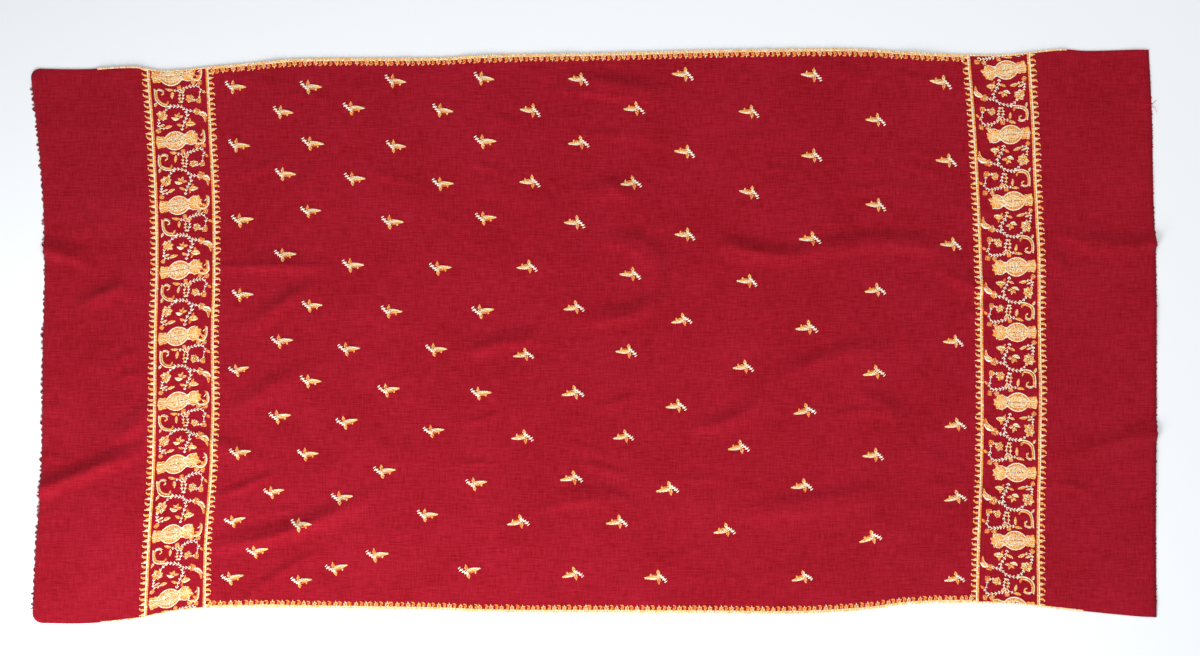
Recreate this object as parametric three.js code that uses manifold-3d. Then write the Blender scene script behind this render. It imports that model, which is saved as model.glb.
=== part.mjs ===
// An embroidered wool shawl, laid out flat with its long way along X.
//
// The shawl is one length of twill-woven wool. Two embroidered bands cross it, one near each
// end: each band is a pair of stitched guard rails with a row of stitched medallions between
// them. A narrow stitched edging runs along both long sides between the bands, and the short
// ends are left as short eyelash fringes of the cloth's own yarns.
//
// Units are millimetres, +Z is up and Z = 0 is the surface that the shawl lies on. A place on
// the cloth is given as (along, across): along runs from the left end to the right end, and
// across from the near long side (-Y) to the far one (+Y), both measured on the flat cloth.

import * as THREE from "three";
import { mergeVertices } from "three/addons/utils/BufferGeometryUtils.js";
import Module from "manifold-3d";

const wasm = await Module();
wasm.setup();

// ---------------------------------------------------------------- driving dimensions

const CLOTH_LENGTH = 2032;
const CLOTH_WIDTH = 1016;
const CLOTH_THICKNESS = 1.2;
const CORNER_RADIUS = 19; // of the two corners at the left end
const CORNER_BLEND = 90; // how far along the cloth the rounding of a corner is taken up

const GAP = 0.3; // between neighbouring pieces
const STITCH_THICKNESS = 1.0; // how far the embroidery stands up
const RAIL_WIDTH = 6.4;
const EDGING_WIDTH = 12;

// Where each band's medallions lie, from the long side that its first one is next to.
const MEDALLION_ROWS = {
  left: [26, 146, 276, 394, 516, 640, 762, 884, 1005],
  right: [28, 148, 271, 393, 514, 643, 773, 899, 1021],
};

const MEDALLION = {
  offset: 40, // from the outer rail to the body's middle
  tilt: { left: 8, right: 1 }, // degrees, anticlockwise
  body: { length: 36, width: 37 },
  head: { reach: 31, radius: 12.5, lobe: 1.2 },
  foot: { reach: 33.5, halfWidth: 10.5, waist: 6 },
};

const FRINGE_STRANDS = 70; // at each end
const FRINGE_STRIP = 1.2; // width of the strip that the strands grow from
const FRINGE_LENGTH = { left: 5, right: 3 };
const FRINGE_LIFT = 0.25; // the strands stay this far above the floor
const FRINGE_THICKNESS = 0.8;
const FRINGE_MARGIN = 30; // clear of the corners

// The grid that the cloth is faceted on: how many cells each stretch along the cloth has.
const CELLS = { end: 4, band: 3, field: 26, across: 44 };

// Lines that cross the shawl. x is where each lies, from the near long side to the far one.
const CROSS_LINES = [
  { name: "left end", along: 0, x: [-1011, -1004, -995, -992, -991, -988, -990, -1000, -1014] },
  { name: "left outer rail", along: 203, x: [-807, -801, -793, -790, -789, -786, -787, -793, -802] },
  { name: "left inner rail", along: 309, x: [-701, -698, -689, -685, -686, -683, -684, -690, -696] },
  { name: "right inner rail", along: 1716, x: [691, 694, 699, 700, 699, 697, 692, 685, 675] },
  { name: "right outer rail", along: 1822, x: [802, 801, 803, 805, 803, 802, 796, 791, 783] },
  { name: "right end", along: CLOTH_LENGTH, x: [1014, 1013, 1013, 1014, 1014, 1013, 1008, 1006, 1000] },
];
const LINE = Object.fromEntries(CROSS_LINES.map((line) => [line.name, line.along]));

// The two long sides, which wander a little: the far side's and the near side's Y at each x.
const LONG_SIDES = [
  { x: -1010, far: 482, near: -516 },
  { x: -916, far: 481, near: -517 },
  { x: -826, far: 485, near: -509 },
  { x: -781, far: 478, near: -500 },
  { x: -735, far: 480, near: -492 },
  { x: -691, far: 485, near: -489 },
  { x: -601, far: 493, near: -487 },
  { x: -534, far: 499, near: -488 },
  { x: -285, far: 501, near: -492 },
  { x: -186, far: 506, near: -496 },
  { x: 30, far: 510, near: -497 },
  { x: 210, far: 515, near: -498 },
  { x: 354, far: 517, near: -499 },
  { x: 480, far: 517, near: -493 },
  { x: 570, far: 511, near: -482 },
  { x: 660, far: 507, near: -479 },
  { x: 750, far: 507, near: -481 },
  { x: 841, far: 517, near: -490 },
  { x: 886, far: 514, near: -495 },
  { x: 976, far: 516, near: -504 },
  { x: 1015, far: 516, near: -506 },
];

// The middle of the whole shawl, fringes and all, in the two tables above. It is the origin.
const MIDDLE = { x: 1.23, y: 0.12 };

// The largest folds. Each is a ridge along a curve that starts at from, is drawn towards via
// and ends at to. It rises steeply on its far side and gently on its near side, and start and
// end say how much of its height is left at its ends.
const FOLDS = [
  { from: [-1015, 164], via: [-961, 155], to: [-900, 135], lift: 7, start: 1, end: 0 },
  { from: [-1015, -280], via: [-898, -241], to: [-804, -194], lift: 12, start: 1, end: 0.3 },
  { from: [-874, -194], via: [-820, -158], to: [-788, -108], lift: 7, start: 0, end: 0 },
  { from: [-928, 44], via: [-880, 80], to: [-820, 92], lift: 5, start: 0, end: 0 },
  { from: [-788, -178], via: [-669, -182], to: [-588, -243], lift: 5, start: 0, end: 0 },
  { from: [-674, 130], via: [-565, 134], to: [-453, 125], lift: 5, start: 0.2, end: 0 },
  { from: [-637, 0], via: [-574, 65], to: [-474, 98], lift: 5, start: 0, end: 0 },
  { from: [-669, -151], via: [-583, -86], to: [-507, -54], lift: 5, start: 0, end: 0 },
  { from: [-745, -383], via: [-493, -358], to: [-366, -259], lift: 10, start: 0, end: 0 },
  { from: [-75, 465], via: [48, 454], to: [152, 427], lift: 9, start: 0, end: 0 },
  { from: [-31, 238], via: [30, 296], to: [98, 238], lift: 5, start: 0, end: 0 },
  { from: [-10, 173], via: [120, 191], to: [115, 103], lift: 6, start: 0, end: 1 },
  { from: [115, 103], via: [111, 33], to: [-75, 38], lift: 8, start: 0.8, end: 0 },
  { from: [-248, -54], via: [-204, 8], to: [-53, -5], lift: 6, start: 0, end: 0 },
  { from: [196, 184], via: [293, 134], to: [390, 152], lift: 9, start: 0, end: 1 },
  { from: [390, 152], via: [531, 191], to: [660, 152], lift: 9, start: 1, end: 0 },
  { from: [617, 130], via: [682, 80], to: [790, 71], lift: 6, start: 0, end: 0 },
  { from: [152, -162], via: [255, -178], to: [336, -75], lift: 6, start: 0, end: 1 },
  { from: [336, -75], via: [433, -18], to: [542, -16], lift: 6, start: 1, end: 0 },
  { from: [466, -108], via: [525, -126], to: [563, -151], lift: 7, start: 0, end: 0 },
  { from: [239, -324], via: [372, -304], to: [552, -270], lift: 7, start: 0, end: 0 },
  { from: [-96, -302], via: [-6, -270], to: [71, -313], lift: 5, start: 0, end: 0 },
  { from: [823, 195], via: [909, 148], to: [1020, 173], lift: 8, start: 0, end: 1 },
  { from: [823, -237], via: [909, -187], to: [1020, -168], lift: 7, start: 0, end: 0.8 },
];
const FOLD_STEEP = 24; // half width on the far side
const FOLD_GENTLE = 38; // half width on the near side
const FOLD_RISE = 0.4; // share of a fold's length over which an end rises
const FOLD_STEPS = 16; // straight pieces that a fold's curve is measured on

// ---------------------------------------------------------------- the form of the cloth

const mix = (a, b, t) => a + (b - a) * t;
const smooth = (t) => {
  const s = THREE.MathUtils.clamp(t, 0, 1);
  return s * s * (3 - 2 * s);
};

// The value at place `at` of a smooth curve through values at places.
function throughPoints(places, values, at) {
  const last = places.length - 1;
  let i = 0;
  while (i < last - 1 && at > places[i + 1]) i += 1;
  const span = places[i + 1] - places[i];
  const t = (at - places[i]) / span;
  const slope = (k) => {
    const before = Math.max(k - 1, 0);
    const after = Math.min(k + 1, last);
    return ((values[after] - values[before]) / (places[after] - places[before])) * span;
  };
  const t2 = t * t;
  const t3 = t2 * t;
  return (
    values[i] * (2 * t3 - 3 * t2 + 1) +
    slope(i) * (t3 - 2 * t2 + t) +
    values[i + 1] * (3 * t2 - 2 * t3) +
    slope(i + 1) * (t3 - t2)
  );
}

const SHARES = CROSS_LINES[0].x.map((_, i, all) => i / (all.length - 1));
const SIDE_X = LONG_SIDES.map((row) => row.x);
const FAR_Y = LONG_SIDES.map((row) => row.far);
const NEAR_Y = LONG_SIDES.map((row) => row.near);

// How far the left end is drawn in where its corners are rounded.
function cornerInset(across) {
  const fromSide = Math.min(across, CLOTH_WIDTH - across);
  if (fromSide >= CORNER_RADIUS) return 0;
  const rise = CORNER_RADIUS - Math.max(fromSide, 0);
  return CORNER_RADIUS - Math.sqrt(CORNER_RADIUS ** 2 - rise ** 2);
}

// Where a place on the cloth lies in plan.
function plan(along, across) {
  const share = across / CLOTH_WIDTH;
  const lineX = CROSS_LINES.map((line) => throughPoints(SHARES, line.x, share));
  let i = 0;
  while (i < CROSS_LINES.length - 2 && along > CROSS_LINES[i + 1].along) i += 1;
  const [low, high] = [CROSS_LINES[i].along, CROSS_LINES[i + 1].along];
  const inset = cornerInset(across) * Math.max(0, 1 - Math.max(along, 0) / CORNER_BLEND);
  const x = mix(lineX[i], lineX[i + 1], (along - low) / (high - low)) + inset;
  const near = throughPoints(SIDE_X, NEAR_Y, x);
  const far = throughPoints(SIDE_X, FAR_Y, x);
  return { x: x - MIDDLE.x, y: mix(near, far, share) - MIDDLE.y };
}

// A fold's curve as points, from the from, via and to of its row.
function foldLine(fold) {
  const [from, via, to] = [fold.from, fold.via, fold.to].map((p) => new THREE.Vector2(...p));
  return new THREE.QuadraticBezierCurve(from, via, to).getPoints(FOLD_STEPS);
}

// The height of one fold over a point in plan.
function foldHeight(fold, line, x, y) {
  const p = new THREE.Vector2(x, y);
  let best = { distance: Infinity };
  for (let i = 0; i < FOLD_STEPS; i += 1) {
    const step = line[i + 1].clone().sub(line[i]);
    const t = THREE.MathUtils.clamp(p.clone().sub(line[i]).dot(step) / step.lengthSq(), 0, 1);
    const away = p.clone().sub(line[i].clone().addScaledVector(step, t));
    if (away.length() < best.distance)
      best = { distance: away.length(), side: step.cross(away), share: (i + t) / FOLD_STEPS };
  }
  const leftToRight = fold.to[0] > fold.from[0] ? 1 : -1;
  const halfWidth = best.side * leftToRight > 0 ? FOLD_STEEP : FOLD_GENTLE;
  if (best.distance >= halfWidth) return 0;
  const ends = Math.min(
    mix(fold.start, 1, smooth(best.share / FOLD_RISE)),
    mix(fold.end, 1, smooth((1 - best.share) / FOLD_RISE)),
  );
  return fold.lift * ends * 0.5 * (1 + Math.cos((Math.PI * best.distance) / halfWidth));
}

const FOLD_LINES = FOLDS.map(foldLine);

// The height of the cloth's underside. Where folds meet, the higher one counts.
function height(x, y) {
  return Math.max(0, ...FOLDS.map((fold, i) => foldHeight(fold, FOLD_LINES[i], x, y)));
}

// A point on the cloth, lifted from its underside.
function onCloth(along, across, lift) {
  const { x, y } = plan(along, across);
  return new THREE.Vector3(x, y, height(x, y) + lift);
}

// ---------------------------------------------------------------- building solids

const between = (low, high, cells) =>
  Array.from({ length: cells + 1 }, (_, i) => mix(low, high, i / cells));

const stretches = [CELLS.end, CELLS.band, CELLS.field, CELLS.band, CELLS.end];
const GRID_ALONG = [0].concat(
  ...stretches.map((cells, i) =>
    between(CROSS_LINES[i].along, CROSS_LINES[i + 1].along, cells).slice(1),
  ),
);
const GRID_ACROSS = between(0, CLOTH_WIDTH, CELLS.across);

// The cloth's grid as points in plan with the height of the underside, worked out once.
const GRID = GRID_ALONG.map((along) => GRID_ACROSS.map((across) => onCloth(along, across, 0)));

function indexed(points, faces) {
  const geometry = new THREE.BufferGeometry().setFromPoints(points);
  return geometry.setIndex(faces.flat());
}

// A thin slab with the given outline, anticlockwise from above, at its underside.
function slab(outline, thickness) {
  const count = outline.length;
  const top = outline.map((p) => p.clone().setZ(p.z + thickness));
  const faces = [];
  for (const [a, b, c] of THREE.ShapeUtils.triangulateShape(outline, []))
    faces.push([a, c, b], [a + count, b + count, c + count]);
  for (let i = 0; i < count; i += 1) {
    const next = (i + 1) % count;
    faces.push([i, next, next + count], [i, next + count, i + count]);
  }
  return indexed([...outline, ...top], faces);
}

// A closed wall that follows the cloth's facets, between two heights over its underside.
function wall(low, high) {
  const columns = GRID.length;
  const rows = GRID[0].length;
  const layer = (lift) => GRID.flat().map((p) => p.clone().setZ(p.z + lift));
  const at = (i, j, top) => (top ? columns * rows : 0) + i * rows + j;
  const faces = [];
  for (let i = 0; i < columns - 1; i += 1)
    for (let j = 0; j < rows - 1; j += 1)
      for (const top of [true, false]) {
        const [a, b, c, d] = [at(i, j, top), at(i + 1, j, top), at(i + 1, j + 1, top), at(i, j + 1, top)];
        faces.push(...(top ? [[a, b, c], [a, c, d]] : [[a, c, b], [a, d, c]]));
      }
  const rim = [];
  for (let i = 0; i < columns - 1; i += 1) rim.push([i, 0]);
  for (let j = 0; j < rows - 1; j += 1) rim.push([columns - 1, j]);
  for (let i = columns - 1; i > 0; i -= 1) rim.push([i, rows - 1]);
  for (let j = rows - 1; j > 0; j -= 1) rim.push([0, j]);
  rim.forEach(([i, j], k) => {
    const [ni, nj] = rim[(k + 1) % rim.length];
    const [a, b, c, d] = [at(i, j, false), at(ni, nj, false), at(ni, nj, true), at(i, j, true)];
    faces.push([a, b, c], [a, c, d]);
  });
  return indexed([...layer(low), ...layer(high)], faces);
}

function toSolid(geometry) {
  const bare = geometry.clone();
  bare.deleteAttribute("normal");
  bare.deleteAttribute("uv");
  const merged = mergeVertices(bare);
  return new wasm.Manifold(
    new wasm.Mesh({
      numProp: 3,
      vertProperties: merged.attributes.position.array,
      triVerts: new Uint32Array(merged.index.array),
    }),
  );
}

function toGeometry(solid) {
  const mesh = solid.getMesh();
  const geometry = new THREE.BufferGeometry();
  geometry.setAttribute("position", new THREE.BufferAttribute(mesh.vertProperties, 3));
  return geometry.setIndex(new THREE.BufferAttribute(mesh.triVerts, 1));
}

const STITCH_LAYER = toSolid(
  wall(CLOTH_THICKNESS + GAP, CLOTH_THICKNESS + GAP + STITCH_THICKNESS),
);
const PRISM_HEIGHT = 60; // more than the highest fold
const OVERRUN = 5; // how far an outline is drawn past the cloth's edge, where it is cut off

// Raised stitching with the given outline, a list of [along, across], lying on the cloth.
function stitched(outline) {
  const shape = new THREE.Shape(
    outline.map(([along, across]) => {
      const { x, y } = plan(along, across);
      return new THREE.Vector2(x, y);
    }),
  );
  const prism = new THREE.ExtrudeGeometry(shape, { depth: PRISM_HEIGHT, bevelEnabled: false });
  return toGeometry(STITCH_LAYER.intersect(toSolid(prism)));
}

// ---------------------------------------------------------------- the pieces

const wool = new THREE.MeshStandardMaterial({ color: 0x9c1528, roughness: 0.92, metalness: 0 });
const railThread = new THREE.MeshStandardMaterial({ color: 0xf0b25a, roughness: 0.6, metalness: 0 });
const medallionThread = new THREE.MeshStandardMaterial({
  color: 0xf3c57c,
  roughness: 0.6,
  metalness: 0,
});
const edgingThread = new THREE.MeshStandardMaterial({ color: 0xeba048, roughness: 0.6, metalness: 0 });

const shawl = new THREE.Group();

function piece(name, geometry, material) {
  const mesh = new THREE.Mesh(geometry, material);
  mesh.name = name;
  shawl.add(mesh);
}

// A guard rail: a stitched strip along one of the lines that cross the shawl.
function rail(along) {
  const half = RAIL_WIDTH / 2;
  const steps = [-OVERRUN, ...GRID_ACROSS.slice(1, -1), CLOTH_WIDTH + OVERRUN];
  return stitched([
    ...steps.map((across) => [along + half, across]),
    ...steps.map((across) => [along - half, across]).reverse(),
  ]);
}

// The narrow edging on one long side, between the two bands' inner rails.
function edging(low, high) {
  const clear = RAIL_WIDTH / 2 + GAP;
  const from = LINE["left inner rail"] + clear;
  const to = LINE["right inner rail"] - clear;
  const steps = between(from, to, CELLS.field);
  return stitched([
    ...steps.map((along) => [along, low]),
    ...steps.map((along) => [along, high]).reverse(),
  ]);
}

// A medallion's outline about its body's middle: a round body with a lobed head towards the
// field (+u) and a waisted foot towards the shawl's end (-u).
function medallionOutline() {
  const { body, head, foot } = MEDALLION;
  const half = [];
  for (const angle of [150, 126, 102, 78, 54, 36]) {
    const t = THREE.MathUtils.degToRad(angle);
    half.push([(Math.cos(t) * body.length) / 2, (Math.sin(t) * body.width) / 2]);
  }
  for (const [angle, lobe] of [[125, 0], [95, 1], [65, -1], [38, 1], [12, -1]]) {
    const t = THREE.MathUtils.degToRad(angle);
    const r = head.radius + lobe * head.lobe;
    half.push([head.reach + Math.cos(t) * r, Math.sin(t) * r]);
  }
  const footPoints = [
    [-foot.reach, foot.halfWidth],
    [-foot.reach + 7, foot.halfWidth - 2],
    [-foot.reach + 12, foot.waist],
  ];
  const upper = [...footPoints, ...half];
  return [...upper, ...upper.map(([u, v]) => [u, -v]).reverse()].reverse();
}

// One band's medallions. The right band is the left one turned half round.
function medallions(side) {
  const turn = side === "left" ? 1 : -1;
  const rails = LINE[`${side} outer rail`];
  const tilt = THREE.MathUtils.degToRad(MEDALLION.tilt[side]);
  const [cos, sin] = [Math.cos(tilt), Math.sin(tilt)];
  MEDALLION_ROWS[side].forEach((middle, i) => {
    const across = side === "left" ? middle : CLOTH_WIDTH - middle;
    const outline = medallionOutline().map(([u, v]) => [
      rails + turn * (MEDALLION.offset + u * cos - v * sin),
      across + turn * (u * sin + v * cos),
    ]);
    piece(`${side}_medallion_${i + 1}`, stitched(outline), medallionThread);
  });
}

// An eyelash fringe: a narrow strip just off the cloth's end with short strands growing out.
function fringe(side) {
  const outwards = side === "left" ? -1 : 1;
  const end = side === "left" ? 0 : CLOTH_LENGTH;
  const pitch = (CLOTH_WIDTH - 2 * FRINGE_MARGIN) / FRINGE_STRANDS;
  const corner = (out, across) => {
    const p = onCloth(end, across, FRINGE_LIFT);
    return p.setX(p.x + outwards * (GAP + out));
  };
  const teeth = [];
  const roots = [];
  for (let k = 0; k < FRINGE_STRANDS; k += 1) {
    const across = FRINGE_MARGIN + k * pitch;
    const reach = FRINGE_STRIP + FRINGE_LENGTH[side] - (k % 3) * 0.7;
    teeth.push(
      corner(FRINGE_STRIP, across),
      corner(reach, across + pitch * 0.2),
      corner(reach, across + pitch * 0.4),
      corner(FRINGE_STRIP, across + pitch * 0.6),
    );
    roots.push(corner(0, across), corner(0, across + pitch * 0.6));
  }
  const outline = [...teeth, ...roots.reverse()];
  return slab(side === "left" ? outline.reverse() : outline, FRINGE_THICKNESS);
}

piece("shawl_cloth", wall(0, CLOTH_THICKNESS), wool);
for (const side of ["left", "right"]) {
  piece(`${side}_outer_rail`, rail(LINE[`${side} outer rail`]), railThread);
  piece(`${side}_inner_rail`, rail(LINE[`${side} inner rail`]), railThread);
  medallions(side);
  piece(`${side}_fringe`, fringe(side), wool);
}
piece("near_edging", edging(-OVERRUN, EDGING_WIDTH), edgingThread);
piece("far_edging", edging(CLOTH_WIDTH - EDGING_WIDTH, CLOTH_WIDTH + OVERRUN), edgingThread);

export default shawl;
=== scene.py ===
"""An embroidered wool shawl, laid out flat.

The shawl is one length of napped twill. Everything stitched on it is made of single raised
stitches: a motif is drawn flat, in millimetres, as a list of stitches, then turned, placed on
the flat cloth and laid over the cloth's folds.

A place on the cloth is (along, across): along runs from the left end to the right end, and
across from the near long side to the far one, in millimetres of flat cloth.
"""

import functools
import math
from collections import namedtuple

import bpy
import numpy as np
from bpy.props import FloatProperty, FloatVectorProperty, IntProperty, PointerProperty
from bpy.types import Operator, Panel, PropertyGroup
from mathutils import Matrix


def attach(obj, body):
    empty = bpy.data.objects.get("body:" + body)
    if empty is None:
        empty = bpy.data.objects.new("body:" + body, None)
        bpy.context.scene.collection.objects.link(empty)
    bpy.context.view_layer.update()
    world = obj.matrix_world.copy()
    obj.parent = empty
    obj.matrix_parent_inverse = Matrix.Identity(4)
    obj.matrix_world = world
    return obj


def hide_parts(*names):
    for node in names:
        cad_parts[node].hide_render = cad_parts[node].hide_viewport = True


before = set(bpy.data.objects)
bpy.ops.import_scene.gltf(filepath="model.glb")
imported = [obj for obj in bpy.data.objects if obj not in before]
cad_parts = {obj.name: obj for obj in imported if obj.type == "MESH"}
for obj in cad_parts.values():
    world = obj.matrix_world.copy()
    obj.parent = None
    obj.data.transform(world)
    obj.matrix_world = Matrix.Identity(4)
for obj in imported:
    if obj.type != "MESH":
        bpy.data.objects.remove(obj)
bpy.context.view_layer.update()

bl_info = {
    "name": "Embroidered wool shawl",
    "version": (1, 0, 0),
    "blender": (4, 5, 0),
    "location": "View3D > Sidebar > Shawl",
    "description": "Lays out a wool shawl and works its borders, sprigs and fringes",
    "category": "Add Mesh",
}

MM = 0.001  # sizes are in millimetres here, and Blender works in metres
CM = 10
BODY = "root"

# ---------------------------------------------------------------- the cut and how it lies

LENGTH = 2032
WIDTH = 1016
THICKNESS = 1.2
CORNER_RADIUS = 19  # of the two corners at the left end
CORNER_BLEND = 90  # how far along the cloth the rounding of a corner is taken up
MIDDLE = np.array((1.23, 0.12))  # of the whole shawl, in the tables below

# Lines across the cloth: where each lies along the flat cloth, and its x in plan at even
# steps from the near long side to the far one.
CrossLine = namedtuple("CrossLine", "along x")
CROSS_LINES = {
    "left end": CrossLine(0, (-1011, -1004, -995, -992, -991, -988, -990, -1000, -1014)),
    "left outer rail": CrossLine(203, (-807, -801, -793, -790, -789, -786, -787, -793, -802)),
    "left inner rail": CrossLine(309, (-701, -698, -689, -685, -686, -683, -684, -690, -696)),
    "right inner rail": CrossLine(1716, (691, 694, 699, 700, 699, 697, 692, 685, 675)),
    "right outer rail": CrossLine(1822, (802, 801, 803, 805, 803, 802, 796, 791, 783)),
    "right end": CrossLine(LENGTH, (1014, 1013, 1013, 1014, 1014, 1013, 1008, 1006, 1000)),
}

# The y in plan of the far and the near long side, at places along the shawl.
Side = namedtuple("Side", "x far near")
LONG_SIDES = (
    Side(-1010, 482, -516),
    Side(-916, 481, -517),
    Side(-826, 485, -509),
    Side(-781, 478, -500),
    Side(-735, 480, -492),
    Side(-691, 485, -489),
    Side(-601, 493, -487),
    Side(-534, 499, -488),
    Side(-285, 501, -492),
    Side(-186, 506, -496),
    Side(30, 510, -497),
    Side(210, 515, -498),
    Side(354, 517, -499),
    Side(480, 517, -493),
    Side(570, 511, -482),
    Side(660, 507, -479),
    Side(750, 507, -481),
    Side(841, 517, -490),
    Side(886, 514, -495),
    Side(976, 516, -504),
    Side(1015, 516, -506),
)

# A fold is a ridge along a curve from start, drawn towards via, to end. left and right say
# how much of its lift it has at its two ends, where that is any.
Fold = namedtuple("Fold", "start via end lift left right", defaults=(0, 0))
FOLDS = (
    Fold((-1015, 164), (-961, 155), (-900, 135), 7, 1, 0),
    Fold((-1015, -280), (-898, -241), (-804, -194), 9.5, 1, 0.3),
    Fold((-874, -194), (-820, -158), (-788, -108), 7),
    Fold((-928, 44), (-880, 80), (-820, 92), 5),
    Fold((-788, -178), (-669, -182), (-588, -243), 5),
    Fold((-674, 130), (-565, 134), (-453, 125), 3, 0.2, 0),
    Fold((-637, 0), (-574, 65), (-474, 98), 5),
    Fold((-669, -151), (-583, -86), (-507, -54), 5),
    Fold((-745, -383), (-493, -358), (-366, -259), 8),
    Fold((-75, 465), (48, 454), (152, 427), 9),
    Fold((-31, 238), (30, 296), (98, 238), 5),
    Fold((-10, 173), (120, 191), (115, 103), 6, 0, 1),
    Fold((115, 103), (125, 18), (-75, 36), 8, 0.8, 0),
    Fold((-248, -54), (-204, 8), (-53, -5), 6),
    Fold((196, 184), (293, 134), (390, 152), 9, 0, 1),
    Fold((390, 152), (531, 191), (660, 152), 9, 1, 0),
    Fold((617, 130), (682, 80), (790, 71), 6),
    Fold((152, -162), (255, -178), (336, -75), 6, 0, 1),
    Fold((336, -75), (433, -18), (542, -16), 6, 1, 0),
    Fold((466, -108), (525, -126), (563, -151), 7),
    Fold((239, -324), (372, -304), (552, -270), 7),
    Fold((-96, -302), (-6, -270), (71, -313), 5),
    Fold((823, 195), (909, 148), (1020, 173), 8, 0, 1),
    Fold((823, -237), (909, -187), (1020, -168), 7, 0, 0.8),
)
Flanks = namedtuple("Flanks", "far near")  # a ridge's half widths on its two sides
FOLD_FLANKS = Flanks(26, 27)
FOLD_KEPT = 0.86  # share of a fold's lift that is left once the cloth has settled

# Creases are too small for a fold of their own: narrower, lower and sharper.
CREASES = (
    Fold((-874, -48), (-838, -28), (-799, -21), 2.5),
    Fold((-193, 395), (-156, 393), (-118, 384), 2.5),
    Fold((-248, 319), (-186, 307), (-139, 281), 2.5),
    Fold((98, 0), (93, -54), (77, -108), 4.5),
    Fold((77, -108), (34, -115), (1, -140), 4.5, 0.5, 0),
    Fold((617, 0), (678, 65), (768, 54), 4),
    Fold((552, 33), (567, -7), (574, -54), 3.5),
    Fold((423, 238), (433, 209), (433, 184), 3.5),
    Fold((812, -259), (859, -273), (898, -275), 4),
    Fold((823, 152), (844, 130), (855, 98), 4),
    Fold((-585, 440), (-520, 437), (-440, 420), 2),
    Fold((560, 330), (620, 322), (690, 333), 2),
    Fold((-420, 300), (-330, 285), (-290, 262), 2),
    Fold((-989, 155), (-935, 148), (-876, 108), 3, 0.8, 0),
    Fold((-940, 43), (-899, 80), (-822, 98), 3),
    Fold((-676, 125), (-566, 128), (-461, 123), 4, 0.6, 0),
    Fold((-632, -11), (-587, 51), (-487, 108), 3),
    Fold((-998, -277), (-899, -236), (-804, -203), 3, 0.8, 0),
    Fold((-872, -198), (-836, -171), (-800, -142), 3),
    Fold((-701, -293), (-629, -275), (-544, -232), 4.5),
    Fold((-701, -383), (-557, -369), (-431, -299), 4),
    Fold((-631, -479), (-580, -425), (-476, -376), 4.5, 0.6, 0),
    Fold((-106, 447), (11, 440), (146, 418), 4.5),
    Fold((5, 303), (32, 263), (97, 234), 3.5),
    Fold((-7, 171), (92, 173), (112, 98), 3),
    Fold((112, 98), (122, 15), (-61, 29), 3),
    Fold((-251, -47), (-197, -3), (-79, -9), 3),
    Fold((194, 180), (293, 141), (393, 144), 2.5),
    Fold((393, 144), (529, 177), (674, 148), 2.5),
    Fold((155, -164), (254, -174), (339, -75), 3),
    Fold((339, -75), (398, -36), (461, -34), 2.5),
    Fold((259, -329), (398, -322), (565, -283), 2.5),
    Fold((620, 134), (656, 87), (731, 76), 3.5),
    Fold((416, -151), (475, -119), (558, -151), 4),
    Fold((818, 195), (857, 173), (911, 157), 2.5),
    Fold((911, 157), (956, 162), (1012, 168), 4, 0, 1),
    Fold((830, -234), (897, -191), (1012, -178), 3.5, 0, 1),
    Fold((-119, -320), (-52, -295), (25, -292), 3.5),
    Fold((11, -274), (47, -281), (83, -317), 3),
    Fold((-641, 281), (-598, 310), (-530, 326), 2),
    Fold((-544, 236), (-530, 290), (-449, 332), 2),
    Fold((-620, 465), (-575, 452), (-521, 452), 2),
    Fold((-881, -54), (-845, -39), (-800, -18), 2.5),
    Fold((-868, -79), (-836, -68), (-800, -65), 2.5),
    Fold((-998, -124), (-980, -129), (-944, -133), 2, 1, 0),
    Fold((-991, -209), (-971, -220), (-944, -230), 2.5),
    Fold((-530, -263), (-508, -252), (-476, -227), 2),
    Fold((-620, -317), (-566, -313), (-512, -310), 2),
    Fold((-61, 364), (11, 366), (92, 361), 2.5),
    Fold((-34, -227), (14, -230), (68, -263), 3.5),
    Fold((-61, -187), (-7, -205), (47, -227), 2),
    Fold((-263, -158), (-206, -155), (-133, -129), 2.5),
    Fold((-263, -234), (-215, -229), (-160, -220), 2),
    Fold((-83, -335), (-92, -367), (-94, -403), 2),
    Fold((-34, -335), (-7, -358), (14, -376), 2),
    Fold((137, -256), (191, -256), (245, -259), 2),
    Fold((200, 141), (230, 126), (263, 105), 2),
    Fold((281, 317), (335, 296), (393, 296), 2),
    Fold((398, 494), (479, 472), (560, 454), 2),
    Fold((461, 494), (551, 469), (659, 451), 2),
    Fold((551, 306), (605, 303), (650, 278), 2),
    Fold((623, 252), (663, 238), (684, 206), 2.5),
    Fold((434, 263), (488, 267), (551, 274), 2),
    Fold((466, 61), (472, 20), (501, -16), 2),
    Fold((603, -180), (616, -209), (634, -252), 2),
    Fold((584, -256), (614, -277), (686, -259), 2),
    Fold((587, -308), (641, -310), (695, -310), 2),
)
CREASE_FLANKS = Flanks(9, 12)
FOLD_RISE = 0.4  # share of a fold's length over which an end rises
FOLD_STEPS = 16  # straight pieces that a fold's curve is measured on

# Low waves that the cloth never quite loses: how many, their shortest and longest wave
# lengths, and their height.
Waves = namedtuple("Waves", "count shortest longest height seed")
SWELL = Waves(22, 70, 260, 0.75, 7)
RUMPLE = Waves(48, 26, 75, 0.2, 19)

# The grid of points that the cloth is made on, finer across where the corners are rounded.
CORNER_LINES = np.array((0, 0.4, 1, 2, 3.5, 5.5, 8, 11, 14.5, 19))
EVEN_LINES = 187
EVEN_FROM = 25  # from each long side to the first of the evenly spaced lines
LINES_ALONG = np.linspace(0, LENGTH, 221)
LINES_ACROSS = np.concatenate(
    (
        CORNER_LINES,
        np.linspace(EVEN_FROM, WIDTH - EVEN_FROM, EVEN_LINES),
        WIDTH - CORNER_LINES[::-1],
    )
)

# ---------------------------------------------------------------- where the work lies

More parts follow.
